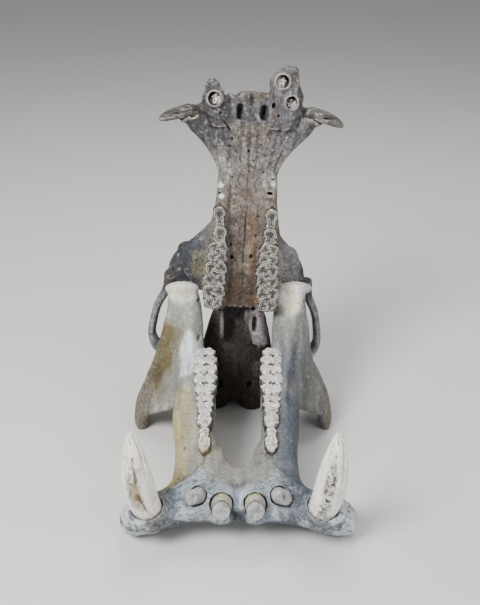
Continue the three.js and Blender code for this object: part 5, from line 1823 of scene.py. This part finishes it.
def build_fillings():
    """White crystalline lumps in the open sockets, scattered on a small disc in each."""
    angles = np.linspace(0, 2 * math.pi, 20, endpoint=False)
    points, faces = [], []
    for x, y, z, radius in FILLED:
        ring = [(x + radius * math.cos(t), y, z + radius * math.sin(t)) for t in angles]
        faces.append([len(points) + i for i in range(len(ring))])
        points += ring
    mesh = bpy.data.meshes.new("socket_discs")
    mesh.from_pydata(to_part(np.array(points), CRANIUM_FRAME).tolist(), [], faces)
    base = placed("socket_discs", mesh)
    tree = lump_tree()
    modifier = base.modifiers.new("lumps", "NODES")
    modifier.node_group = tree
    k = sizes()
    values = {
        "Lump Radius": k.lump_size / 2,
        "Spacing": k.lump_size * 0.6,
        "Roughness": k.lump_size * 0.4,
        "Seed": k.seed,
        "Material": mineral(*FINISHES["filling"]),
    }
    for socket in tree.interface.items_tree:
        if socket.name in values:
            modifier[socket.identifier] = values[socket.name]
    evaluated = base.evaluated_get(bpy.context.evaluated_depsgraph_get())
    result = bpy.data.meshes.new_from_object(evaluated)
    base.modifiers.remove(modifier)
    bpy.data.objects.remove(base)
    if not len(result.polygons):
        raise RuntimeError("no lump was scattered in the sockets")
    result.name = "socket_fillings"
    flat = np.empty(len(result.vertices) * 3, np.float32)
    result.vertices.foreach_get("co", flat)
    result.shade_smooth()
    tinted(result, paint_filling(flat.reshape(-1, 3) / MM))
    settle(placed("socket_fillings", result), "filling", "cranium_bone")


# ---- stage


def studio_board(colour):
    """Matt painted board, very slightly uneven in tone and finely rough."""
    material, tree, place = blank_material("studio_board_matt_painted")
    cloud = node(tree, "ShaderNodeTexNoise", {"Scale": 6.0, "Detail": 3.0}, {"Vector": place}).outputs["Fac"]
    dull = tuple(v * 0.96 for v in colour)
    mixed = node(tree, "ShaderNodeMix", {"data_type": "RGBA"}, {0: cloud})
    mixed.inputs[6].default_value = (*dull, 1)
    mixed.inputs[7].default_value = (*colour, 1)
    surface = node(tree, "ShaderNodeBsdfPrincipled", {"Roughness": 0.9}, {"Base Color": mixed.outputs[2]})
    node(tree, "ShaderNodeOutputMaterial", None, {"Surface": surface.outputs["BSDF"]})
    return material


# The camera: focal length, sensor and distance in millimetres, the point it looks at and how high
# it stands over that point.
LENS, SENSOR, CAMERA_DISTANCE = 55.08, 36, 1731
CAMERA_TARGET = Vector((7.72, 39.94, 307.9)) * MM
CAMERA_RAISED = math.radians(27.74)
LIGHT_TARGET = Vector((0, 0, 0.3))


def build_stage():
    """A plain pale floor, soft lights and the camera."""
    k = sizes()
    bpy.ops.mesh.primitive_plane_add(size=k.floor_size, location=(0, 0, -0.0005))
    floor = bpy.context.object
    floor.name = "studio_floor"
    floor.data.materials.append(studio_board(tuple(colours().floor)))
    for name, place, energy, size in (
        ("key_light", (-1.3, -1.5, 2.2), k.key_power, 1.1),
        ("fill_light", (1.9, -1.3, 1.3), k.fill_power, 2.0),
        ("top_light", (0.2, 0.9, 2.4), k.top_power, 1.6),
    ):
        light = bpy.data.lights.new(name, "AREA")
        light.energy = energy
        light.size = size
        lamp = bpy.data.objects.new(name, light)
        lamp.location = place
        lamp.rotation_euler = (LIGHT_TARGET - Vector(place)).to_track_quat("-Z", "Y").to_euler()
        bpy.context.scene.collection.objects.link(lamp)
    world = bpy.data.worlds.new("soft_room")
    bpy.context.scene.world = world
    world.use_nodes = True
    room = world.node_tree.nodes["Background"].inputs
    room["Color"].default_value = (0.80, 0.80, 0.82, 1)
    room["Strength"].default_value = k.room_light
    data = bpy.data.cameras.new("camera")
    data.lens = LENS
    data.sensor_width = SENSOR
    camera = bpy.data.objects.new("camera", data)
    away = Vector((0, -math.cos(CAMERA_RAISED), math.sin(CAMERA_RAISED)))
    camera.location = CAMERA_TARGET + away * CAMERA_DISTANCE * MM
    camera.rotation_euler = (CAMERA_TARGET - camera.location).to_track_quat("-Z", "Y").to_euler()
    bpy.context.scene.collection.objects.link(camera)
    bpy.context.scene.camera = camera


# ---- the add-on


def measure(name, description, size, low, high):
    """A length property, given in millimetres."""
    return FloatProperty(
        name=name,
        description=description,
        default=size * MM,
        min=low * MM,
        max=high * MM,
        precision=4,
        unit="LENGTH",
    )


def power(name, description, watts):
    """The power of a light."""
    return FloatProperty(
        name=name, description=description, default=watts, min=0.0, max=500.0, unit="POWER"
    )


class SkullSizes(bpy.types.PropertyGroup):
    """Sizes and lights that a user would change."""

    detail: measure("Bone Detail", "Step of the grid that the bones are carved on", 1.6, 1.0, 8.0)
    tooth_detail: measure("Tooth Detail", "Step of the grid that the teeth are carved on", 0.8, 0.5, 4.0)
    weathering: measure("Weathering", "Height of the swellings and pits on the bone", 1.0, 0.0, 3.0)
    seam_overlap: measure(
        "Seam Overlap", "How far neighbouring bones run into one another to close gaps", 0.9, 0.0, 3.0
    )
    socket_gap: measure("Socket Gap", "Gap round each lower incisor in its socket", 2.4, 0.5, 6.0)
    enamel: measure("Enamel", "Thickness of the enamel on the cheek teeth", 1.3, 0.5, 4.0)
    enamel_relief: measure(
        "Enamel Relief", "How far the enamel stands over the worn dentine", 1.7, 0.0, 4.0
    )
    lump_size: measure("Filling Lumps", "Breadth of the crystal lumps in the open sockets", 4.0, 1.0, 8.0)
    floor_size: FloatProperty(
        name="Floor Size",
        description="Side of the studio floor",
        default=12.0,
        min=2.0,
        max=40.0,
        unit="LENGTH",
    )
    key_power: power("Key Light", "Power of the light at the upper left", 112.0)
    fill_power: power("Fill Light", "Power of the soft light at the right", 26.0)
    top_power: power("Top Light", "Power of the light over and behind the skull", 32.0)
    room_light: FloatProperty(
        name="Room Light",
        description="Strength of the even light from all round",
        default=0.36,
        min=0.0,
        max=3.0,
        subtype="FACTOR",
    )
    seed: IntProperty(
        name="Seed",
        description="Seed of the scattered lumps",
        default=5,
        min=0,
        max=999,
    )


def tone(name, description, code):
    """A colour property, its default given as a hex code."""
    return FloatVectorProperty(
        name=name, description=description, default=linear(code), subtype="COLOR", size=3, min=0.0, max=1.0
    )


class SkullColours(bpy.types.PropertyGroup):
    """Colours that a user would change."""

    cranium: tone("Cranium", "Ground colour of the cranium", "#6b6766")
    snout: tone("Snout", "Mauve-grey front of the snout", "#545257")
    palate: tone("Palate", "Brown middle of the palate", "#68574b")
    cheek: tone("Cheek", "Blue-grey roots of the cheekbones", "#3f4249")
    jaw: tone("Jaw", "Ground colour of the lower jaw", "#8f8d85")
    jaw_front: tone("Jaw Front", "Blue-grey front of the lower jaw", "#959fa8")
    neck: tone("Condyle", "Cream colour of the condyles", "#d6d2c3")
    stain: tone("Stain", "Tan stain on the side of the jaw", "#ab9c68")
    hook: tone("Hook", "Beige of the hooked angles of the jaw", "#6e6759")
    enamel: tone("Enamel", "Enamel of the cheek teeth", "#e6e2d9")
    dentine: tone("Dentine", "Worn dentine of the upper cheek teeth", "#433e39")
    ivory: tone("Ivory", "Ivory of the lower tusks", "#f4efe5")
    ivory_stain: tone("Ivory Stain", "Streaks along the tusks", "#bcb195")
    stump: tone("Stump", "Dentine of the broken lower incisors", "#a2a1a2")
    filling: tone("Filling", "Crystals in the open sockets", "#e6e5e2")
    floor: tone("Floor", "Painted studio floor", "#dddcd9")


def sizes():
    """The scene's own sizes."""
    return bpy.context.scene.skull_sizes


def colours():
    """The scene's own colours."""
    return bpy.context.scene.skull_colours


class SKULL_OT_premaxillae(bpy.types.Operator):
    """Build the two premaxillae, with the upper incisors' sockets"""

    bl_idname = "skull.premaxillae"
    bl_label = "Premaxillae"

    def execute(self, context):
        for side in SIDES:
            build_cranium_bone(f"premaxilla_{side}")
        return {"FINISHED"}


class SKULL_OT_maxillae(bpy.types.Operator):
    """Build the two maxillae, from the palate to the flared snout"""

    bl_idname = "skull.maxillae"
    bl_label = "Maxillae"

    def execute(self, context):
        for side in SIDES:
            build_cranium_bone(f"maxilla_{side}")
        return {"FINISHED"}


class SKULL_OT_zygomatics(bpy.types.Operator):
    """Build the cheekbones and their arches"""

    bl_idname = "skull.zygomatics"
    bl_label = "Cheekbones"

    def execute(self, context):
        for side in SIDES:
            build_cranium_bone(f"zygomatic_{side}")
        return {"FINISHED"}


class SKULL_OT_frontal_roof(bpy.types.Operator):
    """Build the roof of the skull between the eyes"""

    bl_idname = "skull.frontal_roof"
    bl_label = "Frontal Roof"

    def execute(self, context):
        build_cranium_bone("frontal_roof")
        return {"FINISHED"}


class SKULL_OT_braincase(bpy.types.Operator):
    """Build the braincase, its crest and its condyles"""

    bl_idname = "skull.braincase"
    bl_label = "Braincase"

    def execute(self, context):
        build_cranium_bone("braincase")
        return {"FINISHED"}


class SKULL_OT_dentaries(bpy.types.Operator):
    """Build the two halves of the lower jaw"""

    bl_idname = "skull.dentaries"
    bl_label = "Lower Jaw"

    def execute(self, context):
        for side in SIDES:
            build_dentary(side)
        return {"FINISHED"}


class SKULL_OT_upper_cheek_teeth(bpy.types.Operator):
    """Build the two upper rows of cheek teeth"""

    bl_idname = "skull.upper_cheek_teeth"
    bl_label = "Upper Cheek Teeth"

    def execute(self, context):
        for side in SIDES:
            build_tooth_row(True, side)
        return {"FINISHED"}


class SKULL_OT_lower_cheek_teeth(bpy.types.Operator):
    """Build the two lower rows of cheek teeth"""

    bl_idname = "skull.lower_cheek_teeth"
    bl_label = "Lower Cheek Teeth"

    def execute(self, context):
        for side in SIDES:
            build_tooth_row(False, side)
        return {"FINISHED"}


class SKULL_OT_upper_canines(bpy.types.Operator):
    """Build the two broken upper canines"""

    bl_idname = "skull.upper_canines"
    bl_label = "Upper Canines"

    def execute(self, context):
        for side in SIDES:
            build_upper_canine(side)
        return {"FINISHED"}


class SKULL_OT_lower_canines(bpy.types.Operator):
    """Build the two lower tusks"""

    bl_idname = "skull.lower_canines"
    bl_label = "Lower Tusks"

    def execute(self, context):
        for side in SIDES:
            build_lower_canine(side)
        return {"FINISHED"}


class SKULL_OT_lower_incisors(bpy.types.Operator):
    """Build the four broken lower incisors"""

    bl_idname = "skull.lower_incisors"
    bl_label = "Lower Incisors"

    def execute(self, context):
        for side in SIDES:
            for name in LOWER_INCISORS:
                build_stump(name, side)
        return {"FINISHED"}


class SKULL_OT_socket_fillings(bpy.types.Operator):
    """Scatter white crystals in the open upper sockets"""

    bl_idname = "skull.socket_fillings"
    bl_label = "Socket Fillings"

    def execute(self, context):
        build_fillings()
        return {"FINISHED"}


class SKULL_OT_stage(bpy.types.Operator):
    """Lay the floor, set the lights and point the camera"""

    bl_idname = "skull.stage"
    bl_label = "Stage"

    def execute(self, context):
        build_stage()
        return {"FINISHED"}


OPERATORS = (
    SKULL_OT_premaxillae,
    SKULL_OT_maxillae,
    SKULL_OT_zygomatics,
    SKULL_OT_frontal_roof,
    SKULL_OT_braincase,
    SKULL_OT_dentaries,
    SKULL_OT_upper_cheek_teeth,
    SKULL_OT_lower_cheek_teeth,
    SKULL_OT_upper_canines,
    SKULL_OT_lower_canines,
    SKULL_OT_lower_incisors,
    SKULL_OT_socket_fillings,
    SKULL_OT_stage,
)


class SKULL_PT_sidebar(bpy.types.Panel):
    """The skull's operators, sizes and colours in the sidebar of the 3D view"""

    bl_idname = "SKULL_PT_sidebar"
    bl_label = "Hippopotamus Skull"
    bl_space_type = "VIEW_3D"
    bl_region_type = "UI"
    bl_category = "Skull"

    def draw(self, context):
        column = self.layout.column(align=True)
        for operator in OPERATORS:
            column.operator(operator.bl_idname)
        for group in (context.scene.skull_sizes, context.scene.skull_colours):
            column = self.layout.column(align=True)
            for key in group.__annotations__:
                column.prop(group, key)


CLASSES = (SkullSizes, SkullColours, *OPERATORS, SKULL_PT_sidebar)


def register():
    """Adds the classes, and the sizes and colours to the scene."""
    for cls in CLASSES:
        bpy.utils.register_class(cls)
    bpy.types.Scene.skull_sizes = PointerProperty(type=SkullSizes)
    bpy.types.Scene.skull_colours = PointerProperty(type=SkullColours)


def unregister():
    """Takes away what register added."""
    del bpy.types.Scene.skull_colours
    del bpy.types.Scene.skull_sizes
    for cls in reversed(CLASSES):
        bpy.utils.unregister_class(cls)


def main():
    """Builds every piece and the stage in order."""
    register()
    for operator in OPERATORS:
        name = operator.bl_idname.removeprefix("skull.")
        getattr(bpy.ops.skull, name)()


if __name__ == "__main__":
    main()
